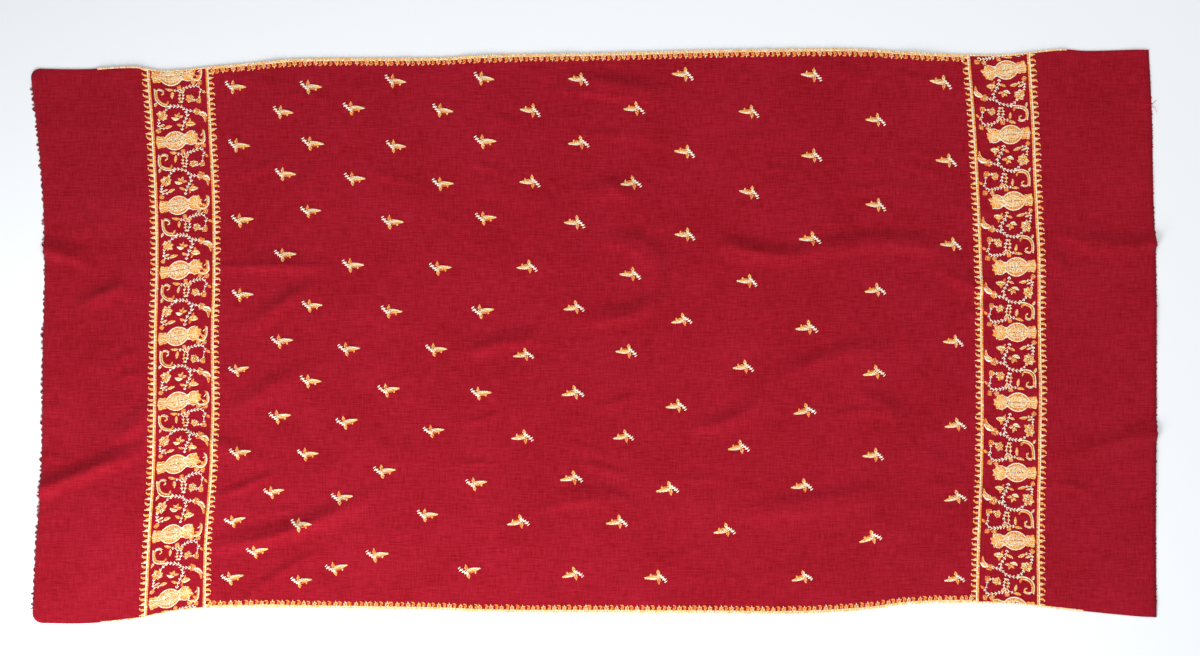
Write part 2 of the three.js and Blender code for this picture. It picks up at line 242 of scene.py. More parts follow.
# Where each band's medallions lie, from the long side that its first one is next to.
MEDALLION_ROWS = {
    "left": (26, 146, 276, 394, 516, 640, 762, 884, 1005),
    "right": (28, 148, 271, 393, 514, 643, 773, 899, 1021),
}
MEDALLION_OFFSET = 41  # from the outer rail to the medallion's middle
MEDALLION_TILT = {"left": 4, "right": 1}  # in degrees, anticlockwise
VINE_PITCH = 121  # the distance between medallions that the vine is drawn for

# The columns of sprigs, in centimetres: where each is along the cloth at its near end, its
# middle and its far end, and where its sprigs lie across the cloth.
Column = namedtuple("Column", "near middle far across")
SPRIG_COLUMNS = (
    Column(36, 36.3, 36, (5.6, 16.3, 29, 44.5, 58.5, 72.5, 86.5, 97.5)),
    Column(42, 43.7, 44.7, (10.5, 21.5, 35.5, 49.5, 65.5, 80.5, 92)),
    Column(48, 49, 50, (5, 15.5, 28.5, 42, 56, 73.5, 86, 96.5)),
    Column(54.8, 56, 58, (7.5, 20.5, 34.5, 48, 63.5, 79.5, 92.5)),
    Column(62, 63.5, 65.7, (10, 25.5, 40.5, 55, 71.5, 85.5, 97.5)),
    Column(70.6, 72, 74.4, (17.5, 33, 48, 63, 78.5, 92)),
    Column(79, 80.3, 82, (7.5, 23.5, 40, 55, 72, 86, 97.5)),
    Column(87.5, 87.8, 90.6, (16.5, 32, 47, 63, 78.5, 91.5)),
    Column(97, 96.8, 99.5, (7, 24.5, 40, 55.5, 71, 85.5, 97)),
    Column(105, 106.7, 109.7, (16.5, 32, 47.5, 61.5, 78, 91.5)),
    Column(112.4, 116.5, 118.7, (6.5, 22.5, 37.5, 53, 68.5, 83.5, 97.5)),
    Column(125.4, 128.2, 130.8, (15, 30, 44.5, 60, 76, 90.5)),
    Column(138.5, 139.5, 142.5, (6.5, 23, 36.5, 51.5, 67.5, 82.5, 97)),
    Column(151.8, 151.9, 154, (13, 28, 43, 58, 73.5, 89)),
    Column(167.4, 166.3, 166, (4.5, 19.5, 33, 48.5, 66.5, 82, 96.5)),
)
COLUMNS_POINTING_RIGHT = 7  # the others are turned half round
SPRIGS_NEARER = 1  # how far short of its place across the cloth each sprig is worked
SPRIG_KINDS = 8  # drawings of a sprig that differ a little

# How far sprigs are turned anticlockwise at the near and the far long side, in degrees.
SprigTilt = namedtuple("SprigTilt", "near far")
SPRIG_TILT = SprigTilt(14, -5.5)

# Sprigs that stray from their column: which column and which of its sprigs, counted from 0,
# and how far it strays along the cloth, in millimetres.
STRAYS = {
    (0, 3): -5,
    (1, 0): -19,
    (2, 0): 5,
    (2, 5): -7,
    (4, 4): -6,
    (8, 0): 8,
    (8, 4): -5,
    (9, 4): -5,
    (11, 0): -11,
    (12, 0): 9,
}

# A rail is two cords side by side, with leaves that point away from its band.
RAIL_CORD = 1.35  # from the rail's middle to the middle of either cord
RAIL_PITCH = 1.7  # from one stitch of a cord to the next
RailCords = namedtuple("RailCords", "inside outside")
RAIL_CORD_WIDTHS = RailCords(3.0, 2.2)
RAIL_LEAF_FOOT = 2.4  # from the rail's middle to where its leaves start
RAIL_OVERRUN = 6  # how far a rail is drawn past the long sides, which cut it off

# An edging, measured from its long side: the whipped edge, and between the bands a second
# cord with a row of buds.
WHIPPED_EDGE = {"near": (124, 1900), "far": (117, 1888)}  # its two ends along the cloth
WHIPPED_EDGE_INSET = 0.6
BUD_CORD_INSET = 3.2
BUD_FOOT = 4.6
BUDS_CLEAR_OF_BAND = 10
EDGE_CORD_WIDTH = 3.4

SMALL_KINDS = 5  # drawings of each of a rail's leaves and an edging's buds
SIDE_MARGIN = 1  # how far inside the long sides stitches are kept
EDGING_PROUD = 4  # how far past that margin an edging's stitches may go

FRINGE_MARGIN = 26  # how far a fringe keeps from the corners
FRINGE_ROOT = 1.2  # how far inside the cloth's end its yarns start
TUFT_WIDTHS = {"left": 11, "right": 6}  # of the tufts that the yarn ends gather in
YARN_RADII = (0.25, 0.5)  # of the thinnest yarn end and the thickest

CREAM, PALE, GOLD, AMBER, ORANGE = range(5)
THREADS = ("cream", "pale", "gold", "amber", "orange")


# ---------------------------------------------------------------- settings


def colour(name, description, default):
    """A colour that can be set."""
    return FloatVectorProperty(
        name=name,
        description=description,
        subtype="COLOR",
        size=3,
        min=0,
        max=1,
        default=default,
    )


def length(name, description, millimetres):
    """A length that can be set."""
    return FloatProperty(
        name=name,
        description=description,
        unit="LENGTH",
        min=0,
        precision=5,
        default=millimetres * MM,
    )


class ShawlSizes(PropertyGroup):
    """Sizes of the stitching and the fringes."""

    stitch_height: length("Stitch height", "How far a stitch stands up from the cloth", 1.0)
    tooth_pitch: length("Tooth pitch", "From one of a guard rail's leaves to the next", 9.7)
    bud_pitch: length("Bud pitch", "From one of an edging's buds to the next", 9.5)
    left_fringe: length("Left fringe", "Length of the yarn ends at the left end", 5.4)
    right_fringe: length("Right fringe", "Length of the yarn ends at the right end", 2.8)
    yarns: IntProperty(
        name="Yarn ends",
        description="Loose yarn ends in each fringe",
        min=50,
        max=4000,
        default=2400,
    )


class ShawlColours(PropertyGroup):
    """Colours of the wool and the threads."""

    wool_dark: colour("Dark wool", "The wool's darker fibres", (0.205, 0.0001, 0.0035))
    wool_light: colour("Light wool", "The wool's lighter fibres", (0.335, 0.0075, 0.0225))
    cream: colour("Cream", "Outlines and stems", (0.98, 0.86, 0.66))
    pale: colour("Pale gold", "Highlights of the fillings", (0.98, 0.67, 0.3))
    gold: colour("Gold", "Fillings", (0.96, 0.47, 0.1))
    amber: colour("Amber", "Rails and shaded fillings", (0.93, 0.32, 0.036))
    orange: colour("Orange", "Buds and tips", (0.9, 0.21, 0.025))


class ShawlStage(PropertyGroup):
    """The floor, the lights and the camera."""

    floor: colour("Floor", "Colour of the floor", (0.785, 0.8, 0.82))
    key_power: FloatProperty(
        name="Key light", description="Power of the low light", unit="POWER", default=76
    )
    fill_power: FloatProperty(
        name="Fill light", description="Power of the overhead light", unit="POWER", default=73
    )
    camera_height: FloatProperty(
        name="Camera height",
        description="Height of the camera above the floor",
        unit="LENGTH",
        default=3.002,
    )


class ShawlSettings(PropertyGroup):
    """Everything that can be set on the shawl."""

    sizes: PointerProperty(type=ShawlSizes)
    colours: PointerProperty(type=ShawlColours)
    stage: PointerProperty(type=ShawlStage)


# ---------------------------------------------------------------- the form of the cloth


def smooth(t):
    """A share from 0 to 1 that starts and ends gently."""
    s = np.clip(t, 0, 1)
    return s * s * (3 - 2 * s)


def through_points(places, values, at):
    """The values at some places of a smooth curve through values at given places."""
    places = np.asarray(places, float)
    values = np.asarray(values, float)
    before = np.maximum(np.arange(len(places)) - 1, 0)
    after = np.minimum(np.arange(len(places)) + 1, len(places) - 1)
    slopes = (values[..., after] - values[..., before]) / (places[after] - places[before])
    i = np.clip(np.searchsorted(places, at, side="right") - 1, 0, len(places) - 2)
    span = places[i + 1] - places[i]
    t = (at - places[i]) / span
    rise = 3 * t**2 - 2 * t**3
    return (
        values[..., i] * (1 - rise)
        + slopes[..., i] * span * (t**3 - 2 * t**2 + t)
        + values[..., i + 1] * rise
        + slopes[..., i + 1] * span * (t**3 - t**2)
    )


def corner_inset(across):
    """How far the left end is drawn in where its corners are rounded."""
    from_side = np.clip(np.minimum(across, WIDTH - across), 0, CORNER_RADIUS)
    rise = CORNER_RADIUS - from_side
    return CORNER_RADIUS - np.sqrt(CORNER_RADIUS**2 - rise**2)


def plan(along, across):
    """Where places on the cloth lie, seen from above."""
    share = across / WIDTH
    starts = np.array([line.along for line in CROSS_LINES.values()], float)
    shares = np.linspace(0, 1, len(CROSS_LINES["left end"].x))
    lines = np.stack([through_points(shares, line.x, share) for line in CROSS_LINES.values()])
    i = np.clip(np.searchsorted(starts, along, side="right") - 1, 0, len(starts) - 2)
    t = (along - starts[i]) / (starts[i + 1] - starts[i])
    n = np.arange(len(along))
    taken_up = np.maximum(0, 1 - np.maximum(along, 0) / CORNER_BLEND)
    x = lines[i, n] * (1 - t) + lines[i + 1, n] * t + corner_inset(across) * taken_up
    side_x = [side.x for side in LONG_SIDES]
    near = through_points(side_x, [side.near for side in LONG_SIDES], x)
    far = through_points(side_x, [side.far for side in LONG_SIDES], x)
    return np.stack([x, near + (far - near) * share], 1) - MIDDLE


def fold_height(fold, flanks, points):
    """The height of one fold over points in plan."""
    share = np.linspace(0, 1, FOLD_STEPS + 1)[:, None]
    start, via, end = (np.array(p, float) for p in (fold.start, fold.via, fold.end))
    line = start * (1 - share) ** 2 + via * 2 * share * (1 - share) + end * share**2
    low = line.min(0) - flanks.near
    high = line.max(0) + flanks.near
    near_it = np.flatnonzero(np.all((points > low) & (points < high), axis=1))
    best = np.full(len(near_it), np.inf)
    best_side = np.zeros(len(near_it))
    best_share = np.zeros(len(near_it))
    for i in range(FOLD_STEPS):
        step = line[i + 1] - line[i]
        offset = points[near_it] - line[i]
        t = np.clip(offset @ step / (step @ step), 0, 1)
        away = offset - t[:, None] * step
        distance = np.hypot(*away.T)
        closer = distance < best
        best[closer] = distance[closer]
        best_side[closer] = (step[0] * away[:, 1] - step[1] * away[:, 0])[closer]
        best_share[closer] = ((i + t) / FOLD_STEPS)[closer]
    leftwards = -1 if fold.end[0] < fold.start[0] else 1
    half_width = np.where(best_side * leftwards > 0, flanks.far, flanks.near)
    ends = np.minimum(
        fold.left + (1 - fold.left) * smooth(best_share / FOLD_RISE),
        fold.right + (1 - fold.right) * smooth((1 - best_share) / FOLD_RISE),
    )
    profile = 0.5 * (1 + np.cos(np.pi * np.minimum(best / half_width, 1)))
    height = np.zeros(len(points))
    height[near_it] = fold.lift * ends * profile
    return height


def waving(waves, points):
    """The height of many low waves that run every way, over points in plan."""
    rng = np.random.default_rng(waves.seed)
    total = np.zeros(len(points))
    for _ in range(waves.count):
        heading = rng.uniform(0, np.pi)
        turn = 2 * np.pi / rng.uniform(waves.shortest, waves.longest)
        offset = points @ (math.cos(heading), math.sin(heading))
        total += np.sin(offset * turn + rng.uniform(0, 2 * np.pi))
    return total * waves.height / math.sqrt(waves.count / 2)


def height(points):
    """The height of the cloth's underside over points in plan."""
    folds = [fold_height(fold, FOLD_FLANKS, points) for fold in FOLDS]
    creases = [fold_height(crease, CREASE_FLANKS, points) for crease in CREASES]
    raised = np.max(folds, axis=0) * FOLD_KEPT + np.max(creases, axis=0)
    return raised + np.maximum(waving(SWELL, points) + waving(RUMPLE, points), 0)


class Laid:
    """The laid cloth as a grid of points. Any other place on it is found between them."""

    def __init__(self):
        self.shape = (len(LINES_ALONG), len(LINES_ACROSS))
        along, across = np.meshgrid(LINES_ALONG, LINES_ACROSS, indexing="ij")
        points = plan(along.ravel(), across.ravel())
        base = np.column_stack([points, height(points)])
        self.base = base.reshape(*self.shape, 3)
        lengthwise = np.gradient(self.base, LINES_ALONG, axis=0)
        crosswise = np.gradient(self.base, LINES_ACROSS, axis=1)
        normal = np.cross(lengthwise, crosswise)
        self.normal = normal / np.linalg.norm(normal, axis=2, keepdims=True)

    def at(self, along, across, lift):
        """Points in metres, lift millimetres over the cloth's upper face."""
        i = np.clip(np.searchsorted(LINES_ALONG, along, "right") - 1, 0, self.shape[0] - 2)
        j = np.clip(np.searchsorted(LINES_ACROSS, across, "right") - 1, 0, self.shape[1] - 2)
        a = ((along - LINES_ALONG[i]) / np.diff(LINES_ALONG)[i])[..., None]
        b = ((across - LINES_ACROSS[j]) / np.diff(LINES_ACROSS)[j])[..., None]

        def between(grid):
            near = grid[i, j] * (1 - a) + grid[i + 1, j] * a
            far = grid[i, j + 1] * (1 - a) + grid[i + 1, j + 1] * a
            return near * (1 - b) + far * b

        points = between(self.base) + between(self.normal) * (THICKNESS + lift)[..., None]
        return points * MM


@functools.lru_cache(maxsize=1)
def laid_cloth():
    return Laid()


# ---------------------------------------------------------------- materials

MIX_DARK, MIX_LIGHT, MIX_RESULT = 6, 7, 2  # the colour sockets of a Mix node
# The range between these two is the threads' ply and dye variation. It is also set brighter on
# the whole than each thread's colour, which paints in the threads' sheen.
THREAD_DARK = 0.78  # a thread's darkest and lightest places, against its colour
THREAD_LIGHT = 1.3
WOOL_FINISH = {
    "Roughness": 0.95,
    "Specular IOR Level": 0.1,
    "Sheen Weight": 0.2,
    "Sheen Roughness": 0.5,
    "Sheen Tint": (1.0, 0.3, 0.36, 1),
}
THREAD_FINISH = {
    "Roughness": 0.5,
    "Specular IOR Level": 0.5,
    "Sheen Weight": 0.25,
    "Sheen Roughness": 0.4,
    "Sheen Tint": (1.0, 0.95, 0.85, 1),
}


def node(tree, kind, inputs=None, **settings):
    """A new shader node; an input is given a value, or linked to the socket given."""
    made = tree.nodes.new(kind)
    for name, value in settings.items():
        setattr(made, name, value)
    for name, value in (inputs or {}).items():
        if isinstance(value, bpy.types.NodeSocket):
            tree.links.new(value, made.inputs[name])
        else:
            made.inputs[name].default_value = value
    return made


def group(name, inputs, outputs):
    """An empty node group with float inputs and the given outputs."""
    tree = bpy.data.node_groups.new(name, "ShaderNodeTree")
    for socket, default in inputs.items():
        made = tree.interface.new_socket(socket, in_out="INPUT", socket_type="NodeSocketFloat")
        made.default_value = default
    for socket, kind in outputs.items():
        tree.interface.new_socket(socket, in_out="OUTPUT", socket_type=kind)
    return tree


def sum_of(tree, terms):
    """Adds up (socket, weight) pairs round a half."""
    total = 0.5
    for socket, weight in terms:
        centred = node(tree, "ShaderNodeMath", {0: socket, 1: 0.5}, operation="SUBTRACT")
        step = node(
            tree,
            "ShaderNodeMath",
            {0: centred.outputs[0], 1: weight, 2: total},
            operation="MULTIPLY_ADD",
        )
        total = step.outputs[0]
    return total


@functools.lru_cache(maxsize=1)
def heather_group():
    """Woven, napped wool: streaks of lighter and darker yarn both ways, and a twill's ribs."""
    tree = group(
        "Heathered twill",
        {"Streaks": 0.6, "Relief": 0.35},
        {"Heather": "NodeSocketFloat", "Normal": "NodeSocketVector"},
    )
    given = node(tree, "NodeGroupInput")
    place = node(tree, "ShaderNodeTexCoord").outputs["Object"]

    def noise(stretch, detail=2.0):
        mapped = node(tree, "ShaderNodeMapping", {"Vector": place, "Scale": stretch})
        return node(
            tree,
            "ShaderNodeTexNoise",
            {"Vector": mapped.outputs[0], "Scale": 1, "Detail": detail, "Roughness": 0.6},
        ).outputs["Fac"]

    weft = noise((46, 430, 1))
    warp = noise((390, 40, 1))
    slubs = noise((13, 480, 1), 1)
    fibres = noise((800, 800, 800), 3)
    patches = noise((6, 8, 6), 4)
    streaks = sum_of(tree, [(weft, 2.0), (warp, 1.8), (slubs, 1.1), (fibres, 0.8)])
    both = sum_of(tree, [(streaks, given.outputs["Streaks"]), (patches, 0.7)])
    ribs = node(
        tree,
        "ShaderNodeTexWave",
        {"Vector": place, "Scale": 260, "Distortion": 1.2, "Detail": 1, "Detail Scale": 3},
        bands_direction="DIAGONAL",
    )
    relief = sum_of(tree, [(ribs.outputs["Fac"], 0.35), (fibres, 1.0), (streaks, 0.6)])
    bump = node(
        tree,
        "ShaderNodeBump",
        {"Strength": given.outputs["Relief"], "Distance": 0.0006, "Height": relief},
    )
    clamped = node(tree, "ShaderNodeClamp", {"Value": both})
    node(tree, "NodeGroupOutput", {"Heather": clamped.outputs[0], "Normal": bump.outputs[0]})
    return tree


@functools.lru_cache(maxsize=1)
def thread_group():
    """Soft embroidery thread: fine plies, and skeins that were never dyed quite evenly."""
    tree = group(
        "Embroidery thread",
        {"Plies": 2600, "Relief": 0.4},
        {"Shade": "NodeSocketFloat", "Normal": "NodeSocketVector"},
    )
    given = node(tree, "NodeGroupInput")
    place = node(tree, "ShaderNodeTexCoord").outputs["Object"]
    plies = node(
        tree,
        "ShaderNodeTexNoise",
        {"Vector": place, "Scale": given.outputs["Plies"], "Detail": 2},
    ).outputs["Fac"]
    stitches = node(tree, "ShaderNodeTexNoise", {"Vector": place, "Scale": 520, "Detail": 1})
    skeins = node(tree, "ShaderNodeTexNoise", {"Vector": place, "Scale": 9, "Detail": 2})
    shade = sum_of(
        tree, [(plies, 0.5), (stitches.outputs["Fac"], 0.9), (skeins.outputs["Fac"], 0.5)]
    )
    bump = node(
        tree,
        "ShaderNodeBump",
        {"Strength": given.outputs["Relief"], "Distance": 0.0003, "Height": plies},
    )
    clamped = node(tree, "ShaderNodeClamp", {"Value": shade})
    node(tree, "NodeGroupOutput", {"Shade": clamped.outputs[0], "Normal": bump.outputs[0]})
    return tree


def cloth_like(name, effect_tree, mask, inputs, dark, light, finish):
    """A material whose colour lies between two, by the mask of one of the groups above."""
    material = bpy.data.materials.new(name)
    material.use_nodes = True
    tree = material.node_tree
    tree.nodes.clear()
    effect = node(tree, "ShaderNodeGroup", inputs, node_tree=effect_tree)
    mixed = node(
        tree,
        "ShaderNodeMix",
        {"Factor": effect.outputs[mask], MIX_DARK: (*dark, 1), MIX_LIGHT: (*light, 1)},
        data_type="RGBA",
    )
    drawn_on = {"Base Color": mixed.outputs[MIX_RESULT], "Normal": effect.outputs["Normal"]}
    bsdf = node(tree, "ShaderNodeBsdfPrincipled", {**drawn_on, **finish})
    node(tree, "ShaderNodeOutputMaterial", {"Surface": bsdf.outputs[0]})
    return material


def shaded(rgb, gain):
    """A colour made darker or brighter."""
    return tuple(min(1, c * gain) for c in rgb)


def wool(name, colours, streaks=0.75, relief=0.35, brighter=1.0):
    """The material of the cloth, or of its loose yarn."""
    return cloth_like(
        name,
        heather_group(),
        "Heather",
        {"Streaks": streaks, "Relief": relief},
        shaded(colours.wool_dark, brighter),
        shaded(colours.wool_light, brighter),
        WOOL_FINISH,
    )


def thread_materials(colours):
    """One material for each thread, shared by every piece that is worked with it."""
    for name in THREADS:
        if f"{name}_thread" not in bpy.data.materials:
            rgb = getattr(colours, name)
            # each thread's tone runs from THREAD_DARK to THREAD_LIGHT times its colour: ply and
            # dye variation, lifted to paint in the threads' sheen
            cloth_like(
                f"{name}_thread",
                thread_group(),
                "Shade",
                {},
                shaded(rgb, THREAD_DARK),
                shaded(rgb, THREAD_LIGHT),
                THREAD_FINISH,
            )
    return [bpy.data.materials[f"{name}_thread"] for name in THREADS]


# ---------------------------------------------------------------- drawing with stitches

# A motif's stitches are an array with a row for each: x0, y0, x1, y1, width, height, thread.
WIDTH_SPREAD = (0.82, 1.16)  # least and most of the width that a stitch is drawn with
HEIGHT_SPREAD = (0.7, 1.35)  # and of its height
CLOSED_UP = 1.25  # a stitch's width in close rows, against their pitch


def turned(vector):
    """A vector turned a quarter round, anticlockwise."""
    return np.array((-vector[1], vector[0]))


def evenly(points, step):
    """Places at even steps along a smooth curve through points, and its heading at each."""
    points = np.asarray(points, float)
    chord = np.r_[0, np.cumsum(np.hypot(*np.diff(points, axis=0).T))]
    fine = through_points(chord, points.T, np.linspace(0, chord[-1], 12 * len(points))).T
    run = np.r_[0, np.cumsum(np.hypot(*np.diff(fine, axis=0).T))]
    marks = np.linspace(0, run[-1], max(2, round(run[-1] / step) + 1))
    places = np.column_stack([np.interp(marks, run, fine[:, k]) for k in (0, 1)])
    heading = np.gradient(places, axis=0)
    return places, heading / np.linalg.norm(heading, axis=1, keepdims=True)


# The threads that turn up among the stitches of another one. The paler ones are partly threads
# of other colours and partly painted highlights that stand for the shine on single stitches.
FLECKS = {
    CREAM: (PALE, CREAM, CREAM),
    PALE: (CREAM, CREAM, GOLD),
    GOLD: (CREAM, PALE, AMBER, ORANGE),
    AMBER: (GOLD, PALE, ORANGE),
    ORANGE: (AMBER, GOLD, PALE),
}


class Work:
    """One motif's stitches, flat in its own plane, in millimetres."""

    def __init__(self, seed, unevenness=0.26, flecked=0.34):
        self.rows = []
        self.rng = np.random.default_rng(seed)
        self.unevenness = unevenness
        self.flecked = flecked

    def stitch(self, start, end, width, thread, height=1.0):
        """One stitch, a little off its place and size, now and then in another thread, which is
        partly a painted highlight.
        """
        x0, y0, x1, y1 = np.r_[start, end] + self.rng.normal(0, self.unevenness / 2, 4)
        width *= self.rng.uniform(*WIDTH_SPREAD)
        height *= self.rng.uniform(*HEIGHT_SPREAD)
        if self.rng.random() < self.flecked:
            others = FLECKS[thread]
            thread = others[self.rng.integers(len(others))]
        self.rows.append((x0, y0, x1, y1, width, height, thread))

    def line(self, points, thread, width=1.3, step=2.8, height=1.05):
        """A line of stitches, each a little under the one before."""
        places, heading = evenly(points, step)
        overlap = 0.35
        for a, b, d in zip(places, places[1:], heading):
            self.stitch(a - d * overlap, b + d * overlap, width, thread, height)

    def cord(self, points, threads, width, pitch=1.15, lean=0.9, height=1.15):
        """A whipped cord: short stitches that lie aslant across a line."""
        places, heading = evenly(points, pitch)
        for k, (p, d) in enumerate(zip(places, heading)):
            slant = turned(d) * width / 2 + d * lean
            thread = threads[k % len(threads)]
            self.stitch(p - slant, p + slant, pitch * CLOSED_UP, thread, height)

    def barbs(self, points, thread=CREAM, arm=6.2, step=6.7, width=1.9):
        """A barbed stem: pairs of stitches that part from a line like an arrow's head."""
        places, heading = evenly(points, step)
        for p, d in zip(places, heading):
            size = arm * self.rng.uniform(0.85, 1.15)
            for side in (1, -1):
                barb = p - d * size * 0.32 + turned(d) * side * size * 0.5
                self.stitch(barb, p + d * size * 0.3, width, thread, 1.35)
        for a, b in zip(places, places[1:]):
            self.stitch(a, b, width * 0.6, thread, 0.75)

    def leaf(
        self, base, tip, width, left, right, bend=0.0, fullest=0.42, blunt=0.9, rib=None
    ):
        """A leaf in two rows of slanting stitches, left and right of its middle."""
        base, tip = np.array(base, float), np.array(tip, float)
        span = np.linalg.norm(tip - base)
        ahead = (tip - base) / span
        aside = turned(ahead)
        pitch = 1.1
        skew = math.log(0.5) / math.log(fullest)

        def middle(t):
            return base + (tip - base) * t + aside * bend * 4 * t * (1 - t)

        for t in np.linspace(0.03, 0.9, max(4, round(span / pitch))):
            half = width / 2 * math.sin(math.pi * t**skew) ** blunt
            for side, thread in ((1, left), (-1, right)):
                edge = middle(min(1.0, t + 0.1)) + aside * side * half
                self.stitch(middle(t), edge, pitch * CLOSED_UP, thread)
        self.stitch(middle(0.8), tip + ahead * 0.6, pitch * 1.3, left)
        if rib is not None:
            self.line([middle(t) for t in (0.05, 0.4, 0.8)], rib, 0.9, 2.2, 1.35)

    def flower(
        self, centre, radius, petals, threads, heart=CREAM, start=0.0, inner=0.22, missing=()
    ):
        """A flower seen from above, its petals in turn in the given threads."""
        centre = np.array(centre, float)
        for k in range(petals):
            angle = math.radians(start) + 2 * math.pi * k / petals
            way = np.array((math.cos(angle), math.sin(angle)))
            wide = 1.9 * radius * math.sin(math.pi / petals)
            reach = radius * self.rng.uniform(0.88, 1.16)
            light, dark = threads[k % len(threads)]
            if k in missing:
                continue
            self.leaf(centre + way * radius * inner, centre + way * reach, wide, light, dark)
        for k in range(4):
            angle = self.rng.uniform(0, math.pi)
            way = np.array((math.cos(angle), math.sin(angle))) * max(0.8, radius * 0.17)
            self.stitch(centre - way, centre + way, 1.2, heart, 1.45)

    def rays(self, centre, inner, outer, thread_at, height=1.0):
        """Stitches that run outwards between two ellipses round a centre."""
        inner, outer = np.array(inner, float), np.array(outer, float)
        pitch = 1.15
        count = round(2 * math.pi * outer.mean() / pitch)
        for angle in np.linspace(0, 2 * math.pi, count, endpoint=False):
            way = np.array((math.cos(angle), math.sin(angle)))
            thread = thread_at(math.degrees(angle) % 360)
            self.stitch(centre + way * inner, centre + way * outer, pitch * 1.3, thread, height)

    def seeds(self, inside, box, threads, spacing=1.4, size=1.9):
        """Small seed stitches strewn over an area."""
        low, high = np.array(box, float)
        for x in np.arange(low[0], high[0], spacing):
            for y in np.arange(low[1], high[1], spacing):
                p = np.array((x, y)) + self.rng.normal(0, spacing * 0.16, 2)
                if inside(*p):
                    angle = self.rng.uniform(0, math.pi)
                    way = np.array((math.cos(angle), math.sin(angle))) * size / 2
                    thread = threads[self.rng.integers(len(threads))]
                    self.stitch(p - way, p + way, 1.15, thread, self.rng.uniform(0.9, 1.3))

    def done(self):
        """The stitches as an array."""
        return np.array(self.rows, float).reshape(-1, 7)


def moved(stitches, x, y, degrees=0.0, stretch=(1.0, 1.0)):
    """A motif's stitches stretched, then turned, then carried to a place."""
    c, s = math.cos(math.radians(degrees)), math.sin(math.radians(degrees))
    out = stitches.copy()
    for k in (0, 2):
        u = stitches[:, k] * stretch[0]
        v = stitches[:, k + 1] * stretch[1]
        out[:, k] = x + c * u - s * v
        out[:, k + 1] = y + s * u + c * v
    return out


# A stitch is a low ridge with pointed ends: (share of its length, share of its width, top?)
STITCH_POINTS = np.array(
    (
        (-0.03, 0.0, 0),
        (0.2, 0.5, 0),
        (0.22, 0.0, 1),
        (0.2, -0.5, 0),
        (0.8, 0.5, 0),
        (0.78, 0.0, 1),
        (0.8, -0.5, 0),
        (1.03, 0.0, 0),
    )
)
STITCH_FACES = ((0, 3, 2), (0, 2, 1), (1, 2, 5, 4), (2, 3, 6, 5), (7, 4, 5), (7, 5, 6))
STITCH_SUNK = 0.18  # how deep a stitch's foot is in the cloth


def mesh_of(name, points, faces_each, copies, materials, slots):
    """A mesh of many like little shapes, points in metres, one material slot for each."""
    per_copy = len(points) // copies
    sizes = np.array([len(face) for face in faces_each])
    corners = np.concatenate([np.array(face) for face in faces_each])
    loops = (corners[None, :] + np.arange(copies)[:, None] * per_copy).ravel()
    totals = np.tile(sizes, copies)
    mesh = bpy.data.meshes.new(name)
    mesh.vertices.add(len(points))
    mesh.vertices.foreach_set("co", points.astype(np.float32).ravel())
    mesh.loops.add(len(loops))
    mesh.loops.foreach_set("vertex_index", loops.astype(np.int32))
    mesh.polygons.add(len(totals))
    mesh.polygons.foreach_set("loop_start", (np.cumsum(totals) - totals).astype(np.int32))
    mesh.polygons.foreach_set("loop_total", totals.astype(np.int32))
    for material in materials:
        mesh.materials.append(material)
    indices = np.repeat(slots, len(sizes)).astype(np.int32)
    mesh.polygons.foreach_set("material_index", indices)
    mesh.polygons.foreach_set("use_smooth", np.ones(len(totals), bool))
    mesh.update(calc_edges=True)
    mesh.validate()
    return mesh


def add_piece(name, mesh, nodes=()):
    """A piece of the shawl and the solids that it stands for."""
    piece = bpy.data.objects.new(name, mesh)
    bpy.context.scene.collection.objects.link(piece)
    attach(piece, BODY)
    if nodes:
        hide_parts(*nodes)


def sew(name, stitches, settings, nodes=(), past_edge=0.0):
    """Lays stitches, placed on the flat cloth, over the laid cloth as one piece.

    Stitches that start or end too near a long side, or past it, are left out.
    """
    across = stitches[:, [1, 3]]
    margin = SIDE_MARGIN - past_edge
    kept = np.all((across > margin) & (across < WIDTH - margin), axis=1)
    x0, y0, x1, y1, width, rise, thread = stitches[kept].T
    reach = np.stack([x1 - x0, y1 - y0], 1)
    ahead = reach / np.maximum(np.linalg.norm(reach, axis=1, keepdims=True), 1e-6)
    aside = np.stack([-ahead[:, 1], ahead[:, 0]], 1)
    share, beside, top = STITCH_POINTS.T
    places = (
        np.stack([x0, y0], 1)[:, None, :]
        + reach[:, None, :] * share[None, :, None]
        + aside[:, None, :] * (width[:, None] * beside[None, :])[:, :, None]
    )
    tall = settings.sizes.stitch_height / MM
    lift = np.where(top[None, :] > 0, rise[:, None] * tall, -STITCH_SUNK)
    points = laid_cloth().at(places[..., 0], places[..., 1], lift).reshape(-1, 3)
    materials = thread_materials(settings.colours)
    mesh = mesh_of(name, points, STITCH_FACES, len(x0), materials, thread)
    add_piece(name, mesh, nodes)


# ---------------------------------------------------------------- motifs


